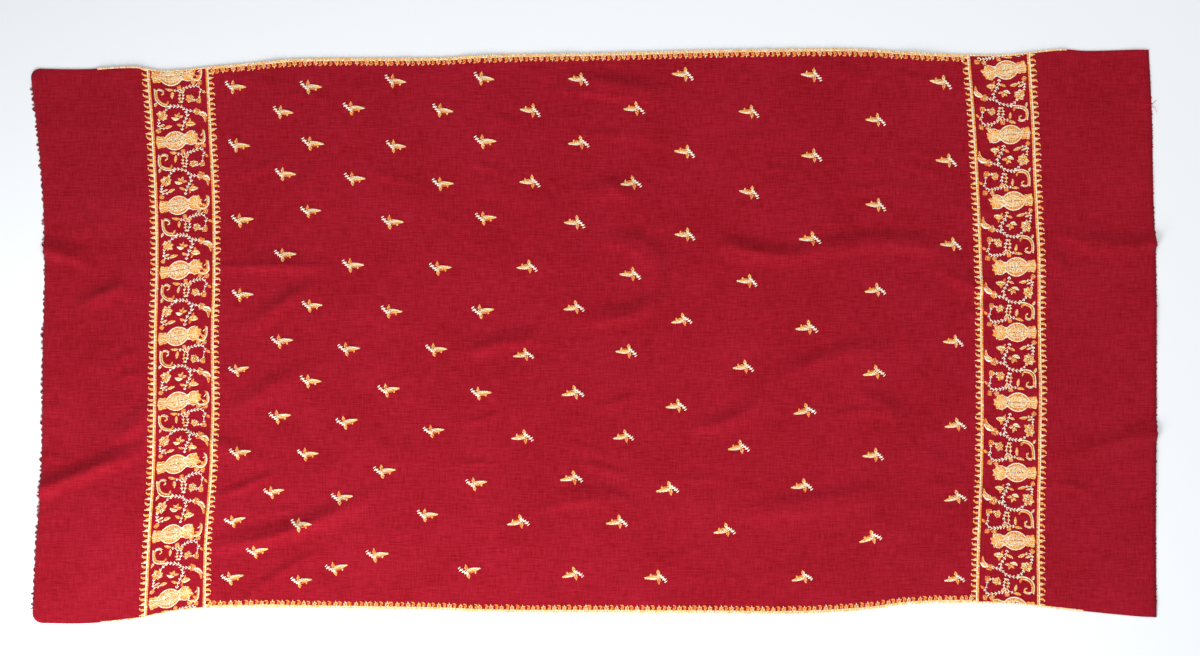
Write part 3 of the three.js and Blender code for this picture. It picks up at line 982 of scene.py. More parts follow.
def sprig(seed):
    """A small spray: a barbed stem, two spade leaves at its joint and a long pod."""
    work = Work(seed, flecked=0.22)
    stem = [(-17.5, 6.4), (-13.6, 2.2), (-10, -1.4), (-6.6, -4.4)]
    work.line(stem, CREAM, 1.7, 3, 1.0)
    for k, (x, y) in enumerate(stem):
        arm = 4.4 - 0.5 * k
        work.stitch((x - arm * 0.75, y + 0.8), (x + arm * 0.5, y + arm * 0.95), 2.1, CREAM, 1.4)
        work.stitch((x - arm * 0.45, y - arm * 0.8), (x + arm * 0.7, y + 0.5), 2.1, CREAM, 1.4)
        work.stitch((x - 1, y - 1.2), (x + 2.4, y - 2.6), 1.8, CREAM, 1.1)
    work.leaf((-6, 2.4), (-5.6, 12.6), 7.0, GOLD, ORANGE, fullest=0.27, blunt=1.15)
    work.leaf((-5.6, -3.8), (-4.4, -13.2), 7.0, AMBER, GOLD, fullest=0.38, blunt=1.1)
    work.leaf((-8, -0.6), (16, 0.4), 6.0, PALE, GOLD, bend=0.3, fullest=0.5, blunt=0.4)
    work.line([(-5.5, 2.6), (0, 3.7), (6, 3.5), (13.5, 2.2)], CREAM, 1.6, 2.8, 1.4)
    work.line([(-3, 0.8), (2, 1.2), (7.5, 0.8)], CREAM, 1.2, 2.6, 1.4)
    work.line([(-8.6, 2.4), (-5.8, -1.2), (-3.4, -5.4)], CREAM, 1.6, 2.4, 1.4)
    work.line([(-3.4, -3.2), (2, -4.2), (8, -3.2)], AMBER, 1.3, 2.8, 1.2)
    work.stitch((11.5, -0.8), (20, 0.2), 1.9, PALE, 1.3)
    work.stitch((12, 1.0), (19, 1.8), 1.6, GOLD, 1.2)
    work.stitch((10.2, -2.4), (8.2, -7.4), 1.6, AMBER)
    work.stitch((8.8, -3.0), (7.0, -6.4), 1.4, GOLD)
    return work.done()


BODY_HALF_LONG = 22
BODY_HALF_WIDE = 16.8
HEAD = np.array((31.0, 1.0))
ROW_PITCH = 1.15  # between the rows of stitches that fill a medallion's body


def body_rim(u):
    """Half the width of a medallion's body at u along it."""
    return BODY_HALF_WIDE * max(0.0, 1 - (u / BODY_HALF_LONG) ** 2) ** 0.72


def body_lens(u):
    """Half the width of the lens in the middle of the body."""
    return 9.2 * max(0.0, 1 - (u / 18.8) ** 2)


def fill_body(work):
    """The two shaded bands of a body, the lens between them, and seeds over it all."""
    for side in (1, -1):
        for u in np.arange(-18.2, 18.3, ROW_PITCH):
            low, high = body_lens(u) + 0.9, body_rim(u) - 1.2
            split = low + (high - low) * 0.44
            deep = ORANGE if abs(u) < 9 else AMBER
            work.stitch((u, side * low), (u, side * split), 1.4, GOLD if u < 4 else PALE)
            if high - low > 1.5:
                work.stitch((u, side * split), (u + 0.5, side * high), 1.4, deep)
        arc = [(u, side * (body_lens(u) + 0.4)) for u in np.linspace(-18, 18, 7)]
        work.line(arc, CREAM, 1.35, 2.4, 1.35)
        arc = [(u, side * (body_lens(u) * 0.38 + 0.2)) for u in np.linspace(-13, 13, 5)]
        work.line(arc, CREAM, 1.0, 2.2, 1.3)
    for u in np.arange(-15.5, 15.6, ROW_PITCH):
        for side in (1, -1):
            thread = (AMBER, GOLD, GOLD, PALE)[work.rng.integers(4)]
            work.stitch((u, 0), (u + 0.4, side * body_lens(u)), 1.5, thread, 0.75)
    work.seeds(
        lambda u, v: abs(v) < body_lens(u) - 0.6,
        ((-17, -10), (17, 10)),
        (CREAM, CREAM, PALE, AMBER),
        spacing=2.3,
        size=3.0,
    )
    work.seeds(
        lambda u, v: abs(v) < body_rim(u) - 2.5,
        ((-18, -16), (18, 16)),
        (CREAM, PALE, ORANGE, CREAM),
        spacing=3.6,
        size=3.2,
    )


def cord_body(work):
    """The cord round a body, open where its head and its foot join it."""
    turns = np.linspace(-0.37 * math.pi, 0.37 * math.pi, 9)
    ring = [(u, body_rim(u)) for u in BODY_HALF_LONG * np.sin(turns)]
    for side in (1, -1):
        work.cord([(u, side * v) for u, v in ring], (CREAM, CREAM, PALE), 2.3)


def rosette(work):
    """A medallion's head: petals on a ground of rays, with two leaves at its neck."""
    work.rays(HEAD, (1, 1), (11.6, 11.6), lambda a: (GOLD, AMBER, GOLD)[int(a / 17) % 3], 0.75)
    two_tone = ((GOLD, AMBER), (PALE, GOLD), (GOLD, ORANGE))
    work.flower(HEAD, 13.2, 9, two_tone, PALE, start=20, inner=0.34, missing=(3,))
    work.rays(HEAD, (2.2, 2.2), (6.2, 6.2), lambda a: (CREAM, GOLD)[int(a / 24) % 2])
    for start, stop in ((190, 300), (95, 160)):
        angles = np.radians(np.linspace(start, stop, 6))
        arc = [(HEAD[0] + 12.8 * math.cos(a), HEAD[1] + 12.8 * math.sin(a)) for a in angles]
        work.line(arc, CREAM, 1.6, 2.4, 1.3)
    work.line([(34, 13.6), (27, 13.2), (21.4, 9.6), (21.2, 4.6)], CREAM, 1.8, 2.4, 1.4)
    work.leaf((14.5, -4.5), (24.5, -9), 5.5, GOLD, CREAM)
    work.leaf((15, 5), (24, 9.8), 5.5, CREAM, GOLD)


def fanned_foot(work):
    """A medallion's foot: leaves that fan out to the outer rail, and lines between them."""
    for v, two in ((9.6, (AMBER, GOLD)), (4.8, (GOLD, PALE)), (0, (GOLD, AMBER))):
        for side in (-1, 1):
            tip = (-36 + v * 0.2, side * v)
            work.leaf((-14, side * v * 0.3), tip, 6.4, *two, fullest=0.68, blunt=0.6)
    work.leaf((-17, 5.2), (-24.5, 10.2), 4.4, ORANGE, GOLD)
    work.leaf((-17, -5.2), (-24.5, -10.2), 4.4, GOLD, ORANGE)
    for v in (-7.6, -2.6, 2.6, 7.6):
        work.line([(-18, v * 0.35), (-26, v * 0.72), (-33.5, v)], CREAM, 1.2, 2.4, 1.4)


def medallion(seed):
    """A round body on a fanned foot, with a rosette for a head, along x."""
    work = Work(seed, flecked=0.4)
    for part in (fill_body, cord_body, rosette, fanned_foot):
        part(work)
    return work.done()


# The parts of the vine that fills a band between two medallions. A place is (u, v): u is
# measured from the outer rail towards the field, and v from a medallion's middle, less than
# 0 towards the medallion before it.


def hooked_leaf(work):
    """The broad hooked leaf beside the inner rail."""
    hook = [(94.5, 13.4), (96, 4), (95, -4), (90, -9.5), (83, -9.5), (77, -6.5)]
    work.cord([(x + 0.9, y - 0.8) for x, y in hook], (CREAM, PALE, CREAM), 2.9)
    work.cord([(x - 1.6, y + 1.2) for x, y in hook[:5]], (ORANGE, AMBER), 3.3)
    work.leaf((93.5, -6), (86, -1.5), 5.0, GOLD, AMBER)
    work.stitch((93.6, 9), (88.6, 4.6), 1.8, CREAM)


def inner_flowers(work):
    """The flowers on stems beside the inner rail."""
    work.flower((80, -13.4), 4.2, 5, ((GOLD, AMBER), (ORANGE, AMBER)), start=70)
    work.flower((92, -14.6), 4.4, 4, ((AMBER, ORANGE),), start=30)
    work.barbs([(85.5, -19.5), (74.5, -20.6), (65.5, -23.6), (56, -26.8)])
    work.barbs([(88.5, -22), (92.5, -29)], arm=4.4)
    work.leaf((94.5, -31), (101, -36.5), 4.8, AMBER, ORANGE)
    work.barbs([(90.5, -33), (89.6, -43)], arm=4.6)
    work.flower((89.2, -49), 4.8, 4, ((ORANGE, AMBER),), CREAM, start=45)
    work.barbs([(84.5, -48), (80, -48)], arm=4.4)
    work.flower((73, -44.6), 7.0, 6, ((PALE, GOLD), (GOLD, AMBER)), start=15)


def hanging_flowers(work):
    """The star flowers and the bell that hang under the medallion's body."""
    work.flower((53.2, -21.8), 4.0, 4, ((ORANGE, AMBER),), start=50)
    work.flower((60, -28.6), 3.6, 4, ((ORANGE, AMBER),), start=10)
    work.barbs([(51, -27.2), (45, -26.2)], arm=4.8)
    work.leaf((43.5, -24.4), (29.2, -21.6), 5.4, AMBER, GOLD, bend=0.8)
    work.leaf((40.8, -27.6), (40.2, -41), 6.2, GOLD, AMBER, rib=CREAM)
    work.barbs([(54, -31), (52.6, -41), (54.6, -49.5)], PALE, arm=4.8)
    work.barbs([(59.2, -32.5), (60.8, -41), (58, -50)], CREAM, arm=4.8)
    work.stitch((53.5, -42), (59, -44.5), 1.4, AMBER)


def scroll(work):
    """The scroll that springs from the outer rail, and the stem that it ends in."""
    outer = [(9, -25.5), (8.6, -36), (11.5, -46.5), (19, -52.6), (29, -54.8), (38, -54)]
    work.cord(outer, (CREAM, CREAM, PALE), 2.3)
    inner = [(12, -27), (11.6, -36), (14.2, -44.2), (21, -49.6), (31, -51.6)]
    work.cord(inner, (GOLD, AMBER, GOLD), 3.3)
    curl = [(11, -27.5), (17, -25.6), (22.4, -27.4), (23.6, -32), (20.4, -34)]
    work.cord(curl, (GOLD, PALE), 2.6)
    work.line([(14, -24), (20, -23.6), (25.4, -27)], CREAM, 1.3, 2.4)
    work.leaf((31, -52), (33.5, -45.2), 4.4, ORANGE, AMBER)
    work.leaf((12.5, -50), (8.6, -57.5), 5.2, GOLD, CREAM)
    work.barbs([(38, -54.2), (48, -55.6), (57, -58.2), (63, -64.6), (72, -67.2), (79, -68.8)])


def stem_end(work):
    """The flower and the broad leaf at the end of the scroll's stem."""
    work.flower((83.4, -69.4), 6.6, 5, ((ORANGE, AMBER), (GOLD, AMBER)), start=100)
    work.leaf((84, -71.5), (101.5, -80.5), 9.6, CREAM, GOLD, bend=1.8)
    work.leaf((97.5, -78.5), (98.8, -91), 5.0, ORANGE, AMBER)
    work.line([(87, -75.8), (93, -79.6), (97, -85)], CREAM, 1.4, 2.6, 1.3)


def round_flower(work):
    """The round flower by the outer rail, on its own stem."""
    work.barbs([(35.5, -57), (29.5, -60), (24.5, -65)], arm=4.8)
    work.flower((19.6, -73.4), 9.6, 7, ((GOLD, PALE), (AMBER, GOLD), (PALE, GOLD)), start=12)
    work.barbs([(12.6, -82.5), (11.6, -93)], arm=4.8)
    work.flower((11.6, -102.5), 4.2, 4, ((AMBER, ORANGE),), CREAM)
    work.leaf((13.6, -93.6), (22.4, -90), 4.2, CREAM, GOLD)
    work.barbs([(14.5, -96.8), (21.5, -96.6)], arm=4.4)
    work.leaf((22.5, -95.8), (36.8, -91.8), 6.2, AMBER, PALE, bend=0.6)


def paisley(work):
    """The paisley in the middle."""
    work.leaf((50, -80.5), (36.4, -76.8), 6.4, CREAM, PALE, bend=1.6)
    work.leaf((47, -77.5), (50.6, -69.2), 5.4, GOLD, ORANGE)
    work.leaf((47, -77), (42.6, -71.2), 4.4, AMBER, GOLD)
    work.leaf((49, -78.5), (57, -77), 5.2, PALE, AMBER)


def chain(work):
    """The chain down to the medallion before."""
    work.barbs([(64.6, -69.6), (66, -76), (61.5, -84), (57.6, -92), (55.4, -101)])
    work.leaf((61.5, -92), (79.2, -92.6), 9.8, GOLD, PALE, bend=0.6)
    work.leaf((68.5, -89), (70, -82.6), 5.0, ORANGE, AMBER)
    work.leaf((66, -94), (63.5, -100), 4.2, AMBER, ORANGE)
    work.leaf((54.8, -94.4), (45.6, -89.6), 4.8, AMBER, GOLD)


def vine(seed, hooked):
    """A vine with all its parts. Only the left band's is hooked."""
    work = Work(seed, flecked=0.42)
    if hooked:
        hooked_leaf(work)
    inner_flowers(work)
    hanging_flowers(work)
    scroll(work)
    stem_end(work)
    round_flower(work)
    paisley(work)
    chain(work)
    return work.done()


def flame(kind, seed):
    """A leaf that stands out from a rail along x: a spade, or a curling hook."""
    work = Work(seed, unevenness=0.2, flecked=0.3)
    if kind == "spade":
        work.leaf((-1.4, -0.6), (8.4, 0.8), 6.6, PALE, GOLD, fullest=0.28, blunt=1.0)
        work.stitch((0.4, -0.4), (5.6, 0.4), 1.6, CREAM, 1.4)
        work.stitch((6.4, 0.4), (10.8, 1.0), 1.4, PALE, 1.1)
    else:
        work.leaf((-1.4, 0.8), (8.8, -0.6), 5.4, AMBER, GOLD, bend=1.0, fullest=0.36, blunt=0.8)
        work.line([(6.6, 1.0), (9.2, -1.2), (8.8, -3.8)], GOLD, 2.0, 2.0, 1.1)
        work.stitch((0.4, 0.4), (5.6, 0.8), 1.4, PALE, 1.4)
    return work.done()


def bud(kind, seed):
    """One of an edging's buds: a rayed round on a short point, or an orange hook."""
    work = Work(seed, unevenness=0.2, flecked=0.3 if kind == "round" else 0.12)
    if kind == "round":
        work.flower((3.0, 0), 3.9, 6, ((GOLD, PALE), (GOLD, AMBER)), ORANGE, inner=0.3)
        work.stitch((5.4, 0.2), (9.2, 0.5), 1.4, PALE, 1.2)
        work.stitch((5.2, -0.8), (8.6, 0.4), 1.2, GOLD, 1.0)
    else:
        work.leaf((-0.4, -0.4), (8.0, -0.6), 5.8, ORANGE, ORANGE, fullest=0.5, blunt=0.8)
        work.line([(6.4, -1.6), (8.2, 0.8), (7.4, 3.6)], GOLD, 1.6, 2.0, 1.1)
        work.stitch((0.4, 1.6), (3.8, 1.4), 1.2, GOLD, 1.3)
    return work.done()


# ---------------------------------------------------------------- placing the motifs


def in_band(side, stitches):
    """Stitches drawn from a band's outer rail and its first long side, placed on the cloth."""
    start = CROSS_LINES[f"{side} outer rail"].along
    if side == "left":
        return moved(stitches, start, 0)
    return moved(stitches, start, WIDTH, 180)


def band_width():
    return CROSS_LINES["left inner rail"].along - CROSS_LINES["left outer rail"].along


def rail(which, settings):
    """One guard rail with its leaves, as the left band has it."""
    outwards = -1 if which == "outer" else 1
    u = 0 if which == "outer" else band_width()
    pitch = settings.sizes.tooth_pitch / MM
    work = Work(31 if which == "outer" else 37, unevenness=0.22, flecked=0.3)
    run = (-RAIL_OVERRUN, WIDTH / 2, WIDTH + RAIL_OVERRUN)
    inside = [(-outwards * RAIL_CORD, v) for v in run]
    outside = [(outwards * RAIL_CORD, v) for v in run]
    widths = RAIL_CORD_WIDTHS
    work.cord(inside, (AMBER, AMBER, GOLD, ORANGE), widths.inside, RAIL_PITCH, lean=1.2)
    work.cord(outside, (CREAM, PALE, CREAM), widths.outside, RAIL_PITCH, lean=1.2)
    rows = [moved(work.done(), u, 0)]
    rng = np.random.default_rng(43)
    kinds = [[flame(kind, seed) for seed in range(SMALL_KINDS)] for kind in ("spade", "hook")]
    for k in range(int(WIDTH / pitch) + 1):
        tooth = kinds[k % 2][rng.integers(SMALL_KINDS)]
        size = rng.uniform(0.84, 1.02)
        v = (k + 0.5) * pitch + rng.normal(0, 0.4)
        turn = (0 if outwards > 0 else 180) + rng.normal(0, 6)
        foot = u + outwards * RAIL_LEAF_FOOT
        rows.append(moved(tooth, foot, v, turn, (size, size)))
    return np.concatenate(rows)


def by_hand(stitches, seed):
    """The same motif as an unsteady hand would draw it again."""
    rng = np.random.default_rng(seed)
    turns = rng.uniform(0, 2 * math.pi, 4)
    out = stitches.copy()
    for k in (0, 2):
        u, v = stitches[:, k], stitches[:, k + 1]
        out[:, k] += np.sin(v / 8 + turns[0]) + 0.6 * np.sin(u / 5 + turns[1])
        out[:, k + 1] += np.sin(u / 9 + turns[2]) + 0.6 * np.sin(v / 6 + turns[3])
    return out


def band_vines(side):
    """A vine between each medallion and the one before it, stretched to fit."""
    rows = MEDALLION_ROWS[side]
    made = []
    for k, middle in enumerate(rows):
        gap = middle - rows[k - 1] if k else VINE_PITCH
        seed = 100 + k + (20 if side == "right" else 0)
        drawn = by_hand(vine(seed, hooked=side == "left"), seed)
        fitted = moved(drawn, 0, middle, 0, (1, gap / VINE_PITCH))
        made.append(in_band(side, fitted))
    return np.concatenate(made)


def sprigs():
    """All the sprigs of the field, column by column."""
    rng = np.random.default_rng(5)
    kinds = [sprig(200 + k) for k in range(SPRIG_KINDS)]
    made = []
    width = WIDTH / CM
    for k, column in enumerate(SPRIG_COLUMNS):
        half_turn = 0 if k < COLUMNS_POINTING_RIGHT else 180
        line = (column.near, column.middle, column.far)
        for j, across in enumerate(column.across):
            along = CM * float(through_points((0, width / 2, width), line, across))
            along += STRAYS.get((k, j), 0)
            size = rng.uniform(0.93, 1.03)
            kind = kinds[rng.integers(SPRIG_KINDS)]
            turn = half_turn + SPRIG_TILT.near + rng.normal(0, 4)
            turn += (SPRIG_TILT.far - SPRIG_TILT.near) * CM * across / WIDTH
            made.append(moved(kind, along, CM * across - SPRIGS_NEARER, turn, (size, size)))
    return np.concatenate(made)


def edging(side, settings):
    """A long side's whipped edge, and the row of buds between the bands."""
    first = CROSS_LINES["left inner rail"].along + BUDS_CLEAR_OF_BAND
    last = CROSS_LINES["right inner rail"].along - BUDS_CLEAR_OF_BAND
    work = Work(51, unevenness=0.34, flecked=0.45)
    cords = ((*WHIPPED_EDGE[side], WHIPPED_EDGE_INSET), (first, last, BUD_CORD_INSET))
    for start, stop, inset in cords:
        line = [(along, inset) for along in (start, (start + stop) / 2, stop)]
        work.cord(line, (PALE, GOLD, CREAM, AMBER), EDGE_CORD_WIDTH, 1.5, lean=0.9)
    rows = [work.done()]
    pitch = settings.sizes.bud_pitch / MM
    seeds = range(60, 60 + SMALL_KINDS)
    kinds = [[bud(kind, seed) for seed in seeds] for kind in ("round", "hook")]
    rng = np.random.default_rng(9)
    for k in range(int((last - first) / pitch) + 1):
        size = rng.uniform(0.9, 1.08)
        along = first + k * pitch + rng.normal(0, 0.5)
        turn = 90 + rng.normal(0, 7)
        kind = kinds[k % 2][rng.integers(SMALL_KINDS)]
        rows.append(moved(kind, along, BUD_FOOT, turn, (size, size)))
    stitches = np.concatenate(rows)
    if side == "far":
        return moved(stitches, 0, WIDTH, 0, (1, -1))
    return stitches


# ---------------------------------------------------------------- loose yarn

YARN_TIP = 0.35  # a yarn's radius at its tip, against the radius at its root
LOWEST_YARN = 0.05  # how far above the cloth's flat underside yarn is kept
YARN_END_STEPS = 5  # points that a yarn end is drawn through
LOOSE_YARN_STEPS = 28  # and a loose yarn


def yarns(name, paths, radii, material, slot, nodes=()):
    """Thin tapered yarn ends as one piece. paths is a block of (yarn, step, x y z)."""
    copies, steps, _ = paths.shape
    heading = np.gradient(paths, axis=1)
    heading /= np.linalg.norm(heading, axis=2, keepdims=True)
    aside = np.cross(heading, (0, 0, 1))
    aside /= np.linalg.norm(aside, axis=2, keepdims=True)
    over = np.cross(aside, heading)
    taper = np.linspace(1, YARN_TIP, steps)[None, :, None]
    rings = []
    for angle in np.radians((90, 210, 330)):
        out = aside * math.cos(angle) + over * math.sin(angle)
        rings.append(paths + out * taper * radii[:, None, None])
    points = np.stack(rings, 2).reshape(-1, 3)
    points[:, 2] = np.maximum(points[:, 2], LOWEST_YARN * MM)
    faces = []
    for step in range(steps - 1):
        for k in range(3):
            a, b = step * 3 + k, step * 3 + (k + 1) % 3
            faces.append((a, a + 3, b + 3, b))
    end = (steps - 1) * 3
    faces += [(0, 1, 2), (end, end + 2, end + 1)]
    mesh = mesh_of(name, points, faces, copies, [material], np.zeros(copies))
    add_piece(name, mesh, nodes)


def fringe_paths(side, settings):
    """The yarn ends of one short end, gathered a little into tufts."""
    rng = np.random.default_rng(11 if side == "left" else 13)
    count = settings.sizes.yarns
    reach = getattr(settings.sizes, f"{side}_fringe") / MM
    across = np.sort(rng.uniform(FRINGE_MARGIN, WIDTH - FRINGE_MARGIN, count))
    tuft = TUFT_WIDTHS[side]
    # where one tuft ends and the next begins, with some to spare at the far side
    seams = np.cumsum(rng.uniform(0.55, 1.45, int(WIDTH / tuft * 1.3)) * tuft)
    own = np.searchsorted(seams, across)
    kind = rng.random((2, len(seams) + 1))[:, own]
    middle = seams[own] - tuft * (0.35 + 0.3 * kind[0])
    own_length = reach * (0.45 + 0.75 * kind[1]) * rng.uniform(0.7, 1.1, count)
    share = np.linspace(0, 1, YARN_END_STEPS)[None, :]
    gathered = rng.uniform(0.55, 0.95, count)[:, None]
    sway = rng.normal(0, 0.6, count)[:, None]
    outwards = own_length[:, None] * share - FRINGE_ROOT
    across_path = across[:, None] + (middle - across)[:, None] * gathered * share
    across_path += sway * share**2
    along = -outwards if side == "left" else LENGTH + outwards
    droop = -0.35 - 0.75 * share + rng.normal(0, 0.12, count)[:, None]
    return laid_cloth().at(along, across_path, droop)


# Yarns that have worked loose: the places on the cloth that each passes, and its radius.
LooseYarn = namedtuple("LooseYarn", "places radius")
LOOSE_YARNS = (
    LooseYarn(((1998, 904), (2014, 911), (2030, 917), (2042, 926)), 0.8),
    LooseYarn(((2020, 919), (2030, 917), (2038, 911), (2041, 903)), 0.6),
    LooseYarn(((50, 836), (54, 827), (52, 819), (56, 813)), 1.1),
    LooseYarn(((600, 184), (640, 183), (680, 182), (713, 183)), 0.45),
    LooseYarn(((118, 384), (150, 386), (186, 385), (199, 386)), 0.35),
    LooseYarn(((930, 548), (960, 549), (1010, 548), (1060, 549)), 0.35),
)


def loose_yarn_paths():
    """Where the loose yarns run, half sunk into the cloth."""
    rng = np.random.default_rng(23)
    share = np.linspace(0, 1, LOOSE_YARN_STEPS)
    made = []
    for yarn in LOOSE_YARNS:
        turns = np.linspace(0, 1, len(yarn.places))
        places = through_points(turns, np.array(yarn.places, float).T, share)
        lift = rng.uniform(-0.25, 0.3, LOOSE_YARN_STEPS) * yarn.radius
        made.append(laid_cloth().at(places[0], places[1], lift))
    return np.stack(made)


# ---------------------------------------------------------------- the stage, in metres

FLOOR_HALF = 6.0
FLOOR_DROP = 0.3 * MM  # how far the floor lies below the cloth's flat underside
Softbox = namedtuple("Softbox", "size place")  # a square light, aimed at the shawl's middle
KEY_LIGHT = Softbox(1.4, (-0.86, -1.9, 1.12))
FILL_LIGHT = Softbox(3.0, (1.1, 0.75, 3.4))
STUDIO_COLOUR = (0.94, 0.97, 1, 1)
STUDIO_STRENGTH = 0.38
FOCAL_LENGTH = 50  # in millimetres, as lenses have it, and so is the next
SENSOR_WIDTH = 36
BELOW_CAMERA = (0.0107, 0.0147)  # the place on the floor that the camera looks straight down on


# ---------------------------------------------------------------- operators


class LayCloth(Operator):
    """Lays the wool cloth with its folds and creases."""

    bl_idname = "shawl.lay_cloth"
    bl_label = "Lay the cloth"

    def execute(self, context):
        settings = context.scene.shawl
        laid = laid_cloth()
        under = laid.base.reshape(-1, 3) * MM
        over = (laid.base + laid.normal * THICKNESS).reshape(-1, 3) * MM
        over[:, 2] = np.maximum(over[:, 2], THICKNESS * MM)
        columns, rows = laid.shape
        index = np.arange(columns * rows).reshape(laid.shape)
        a, b, c, d = index[:-1, :-1], index[1:, :-1], index[1:, 1:], index[:-1, 1:]
        below = np.stack([a, d, c, b], -1).reshape(-1, 4)
        above = np.stack([a, b, c, d], -1).reshape(-1, 4) + columns * rows
        rim = np.concatenate([index[:, 0], index[-1, 1:], index[-2::-1, -1], index[0, -2:0:-1]])
        after = np.roll(rim, -1)
        wall = np.stack([rim, after, after + columns * rows, rim + columns * rows], 1)
        faces = np.concatenate([above, below, wall])
        mesh = mesh_of(
            "shawl",
            np.concatenate([under, over]),
            faces,
            1,
            [wool("heathered_wool", settings.colours)],
            np.zeros(1),
        )
        add_piece("shawl", mesh, ("shawl_cloth",))
        return {"FINISHED"}


class WorkRails(Operator):
    """Works the four guard rails with their hooked leaves."""

    bl_idname = "shawl.work_rails"
    bl_label = "Work the guard rails"

    def execute(self, context):
        settings = context.scene.shawl
        for side in ("left", "right"):
            for which in ("outer", "inner"):
                name = f"{side}_{which}_rail"
                stitches = in_band(side, rail(which, settings))
                sew(f"stitched_{name}", stitches, settings, (name,))
        return {"FINISHED"}


class WorkMedallions(Operator):
    """Works the medallions of both bands."""

    bl_idname = "shawl.work_medallions"
    bl_label = "Work the medallions"

    def execute(self, context):
        settings = context.scene.shawl
        rng = np.random.default_rng(3)
        for side, rows in MEDALLION_ROWS.items():
            for k, middle in enumerate(rows):
                tilt = MEDALLION_TILT[side] + rng.normal(0, 1.5)
                drawn = moved(medallion(300 + k), MEDALLION_OFFSET, middle, tilt)
                name = f"{side}_medallion_{k + 1}"
                stitches = in_band(side, drawn)
                sew(f"stitched_{name}", stitches, settings, (name,))
        return {"FINISHED"}


class WorkVines(Operator):
    """Works the vines, scrolls and flowers between the medallions."""

    bl_idname = "shawl.work_vines"
    bl_label = "Work the vines"

    def execute(self, context):
        settings = context.scene.shawl
        for side in MEDALLION_ROWS:
            sew(f"{side}_band_vines", band_vines(side), settings)
        return {"FINISHED"}


class WorkSprigs(Operator):
    """Works the sprigs that are strewn over the field."""

    bl_idname = "shawl.work_sprigs"
    bl_label = "Work the sprigs"

    def execute(self, context):
        sew("field_sprigs", sprigs(), context.scene.shawl)
        return {"FINISHED"}


class WorkEdgings(Operator):
    """Whips both long edges and works their rows of buds."""

    bl_idname = "shawl.work_edgings"
    bl_label = "Work the edgings"

    def execute(self, context):
        settings = context.scene.shawl
        for side in ("near", "far"):
            name = f"{side}_edging"
            stitches = edging(side, settings)
            nodes = (name,)
            sew(f"stitched_{name}", stitches, settings, nodes, EDGING_PROUD)
        return {"FINISHED"}


class FrayFringes(Operator):
    """Frays the short ends into fringes of the cloth's own yarn."""

    bl_idname = "shawl.fray_fringes"
    bl_label = "Fray the short ends"

    def execute(self, context):
        settings = context.scene.shawl
        material = wool("frayed_wool", settings.colours, 0.9, 0.5, brighter=1.25)
        for side in ("left", "right"):
            paths = fringe_paths(side, settings)
            radii = np.random.default_rng(17).uniform(*YARN_RADII, len(paths)) * MM
            name = f"{side}_frayed_ends"
            yarns(name, paths, radii, material, "fringe_yarn", (f"{side}_fringe",))
        return {"FINISHED"}


class LayLooseYarns(Operator):
    """Lays the few yarns that have worked loose or were spun too thick."""

    bl_idname = "shawl.lay_loose_yarns"
    bl_label = "Lay the loose yarns"

    def execute(self, context):
        settings = context.scene.shawl
        radii = np.array([yarn.radius for yarn in LOOSE_YARNS]) * MM
        material = wool("loose_wool", settings.colours, 0.5, 0.5, brighter=1.8)
        yarns("loose_yarns", loose_yarn_paths(), radii, material, "fringe_yarn")
        return {"FINISHED"}


class DeclareSheet(Operator):
    """Finishes at once; it makes and changes nothing."""

    bl_idname = "shawl.declare_sheet"
    bl_label = "State the cut"

    def execute(self, context):
        return {"FINISHED"}


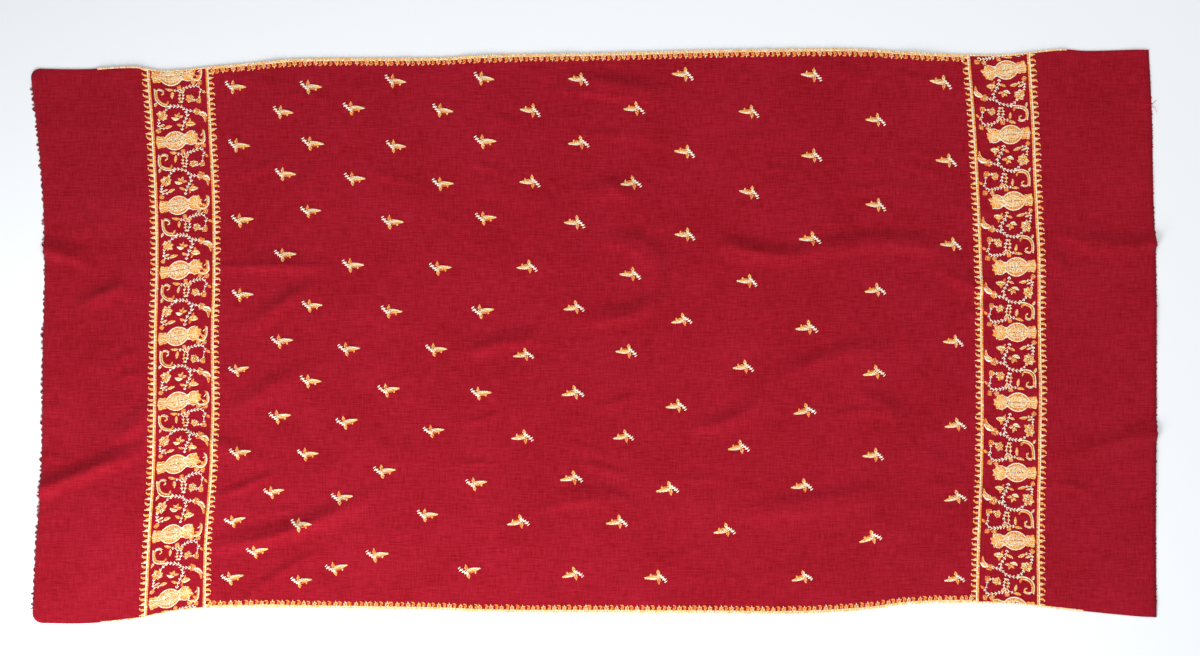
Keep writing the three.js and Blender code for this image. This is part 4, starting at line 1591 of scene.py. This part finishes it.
class SetStage(Operator):
    """Makes the floor, the lights and the camera."""

    bl_idname = "shawl.set_stage"
    bl_label = "Set the stage"

    def execute(self, context):
        settings = context.scene.shawl.stage
        self.make_floor(settings)
        self.make_light(context, "key", KEY_LIGHT, settings.key_power)
        self.make_light(context, "fill", FILL_LIGHT, settings.fill_power)
        self.make_world(context)
        self.make_camera(context, settings)
        return {"FINISHED"}

    @staticmethod
    def make_floor(settings):
        corners = ((-1, -1), (1, -1), (1, 1), (-1, 1))
        points = [(x * FLOOR_HALF, y * FLOOR_HALF, -FLOOR_DROP) for x, y in corners]
        mesh = bpy.data.meshes.new("floor")
        mesh.from_pydata(points, [], [(0, 1, 2, 3)])
        material = bpy.data.materials.new("pale_floor")
        material.use_nodes = True
        bsdf = material.node_tree.nodes["Principled BSDF"]
        bsdf.inputs["Base Color"].default_value = (*settings.floor, 1)
        bsdf.inputs["Roughness"].default_value = 0.8
        mesh.materials.append(material)
        floor = bpy.data.objects.new("floor", mesh)
        bpy.context.scene.collection.objects.link(floor)

    @staticmethod
    def make_light(context, name, softbox, power):
        lamp = bpy.data.lights.new(name, "AREA")
        lamp.energy = power
        lamp.size = softbox.size
        light = bpy.data.objects.new(name, lamp)
        light.location = softbox.place
        aim = -np.array(softbox.place)
        light.rotation_euler = (
            math.acos(-aim[2] / np.linalg.norm(aim)),
            0,
            math.atan2(aim[1], aim[0]) - math.pi / 2,
        )
        context.scene.collection.objects.link(light)

    @staticmethod
    def make_world(context):
        world = bpy.data.worlds.new("studio")
        world.use_nodes = True
        background = world.node_tree.nodes["Background"]
        background.inputs["Color"].default_value = STUDIO_COLOUR
        background.inputs["Strength"].default_value = STUDIO_STRENGTH
        context.scene.world = world

    @staticmethod
    def make_camera(context, settings):
        lens = bpy.data.cameras.new("camera")
        lens.lens = FOCAL_LENGTH
        lens.sensor_width = SENSOR_WIDTH
        camera = bpy.data.objects.new("camera", lens)
        camera.location = (*BELOW_CAMERA, settings.camera_height)
        context.scene.collection.objects.link(camera)
        context.scene.camera = camera
        context.scene.view_settings.view_transform = "Standard"


OPERATORS = (
    LayCloth,
    WorkRails,
    WorkMedallions,
    WorkVines,
    WorkSprigs,
    WorkEdgings,
    FrayFringes,
    LayLooseYarns,
    DeclareSheet,
    SetStage,
)


class ShawlPanel(Panel):
    """The shawl's steps and settings, in the 3D view's sidebar."""

    bl_idname = "VIEW3D_PT_shawl"
    bl_label = "Shawl"
    bl_space_type = "VIEW_3D"
    bl_region_type = "UI"
    bl_category = "Shawl"

    def draw(self, context):
        settings = context.scene.shawl
        for operator in OPERATORS:
            self.layout.operator(operator.bl_idname)
        for held in (settings.sizes, settings.colours, settings.stage):
            box = self.layout.box()
            for name in held.__annotations__:
                box.prop(held, name)


CLASSES = (ShawlSizes, ShawlColours, ShawlStage, ShawlSettings, *OPERATORS, ShawlPanel)


def register():
    for cls in CLASSES:
        bpy.utils.register_class(cls)
    bpy.types.Scene.shawl = PointerProperty(type=ShawlSettings)


def unregister():
    del bpy.types.Scene.shawl
    for cls in reversed(CLASSES):
        bpy.utils.unregister_class(cls)


def run(operator):
    """Calls an operator by its name, as a button would."""
    area, name = operator.bl_idname.split(".")
    result = getattr(getattr(bpy.ops, area), name)()
    if result != {"FINISHED"}:
        raise RuntimeError(f"{operator.bl_label} did not finish")


def main():
    register()
    for operator in OPERATORS:
        run(operator)


if __name__ == "__main__":
    main()
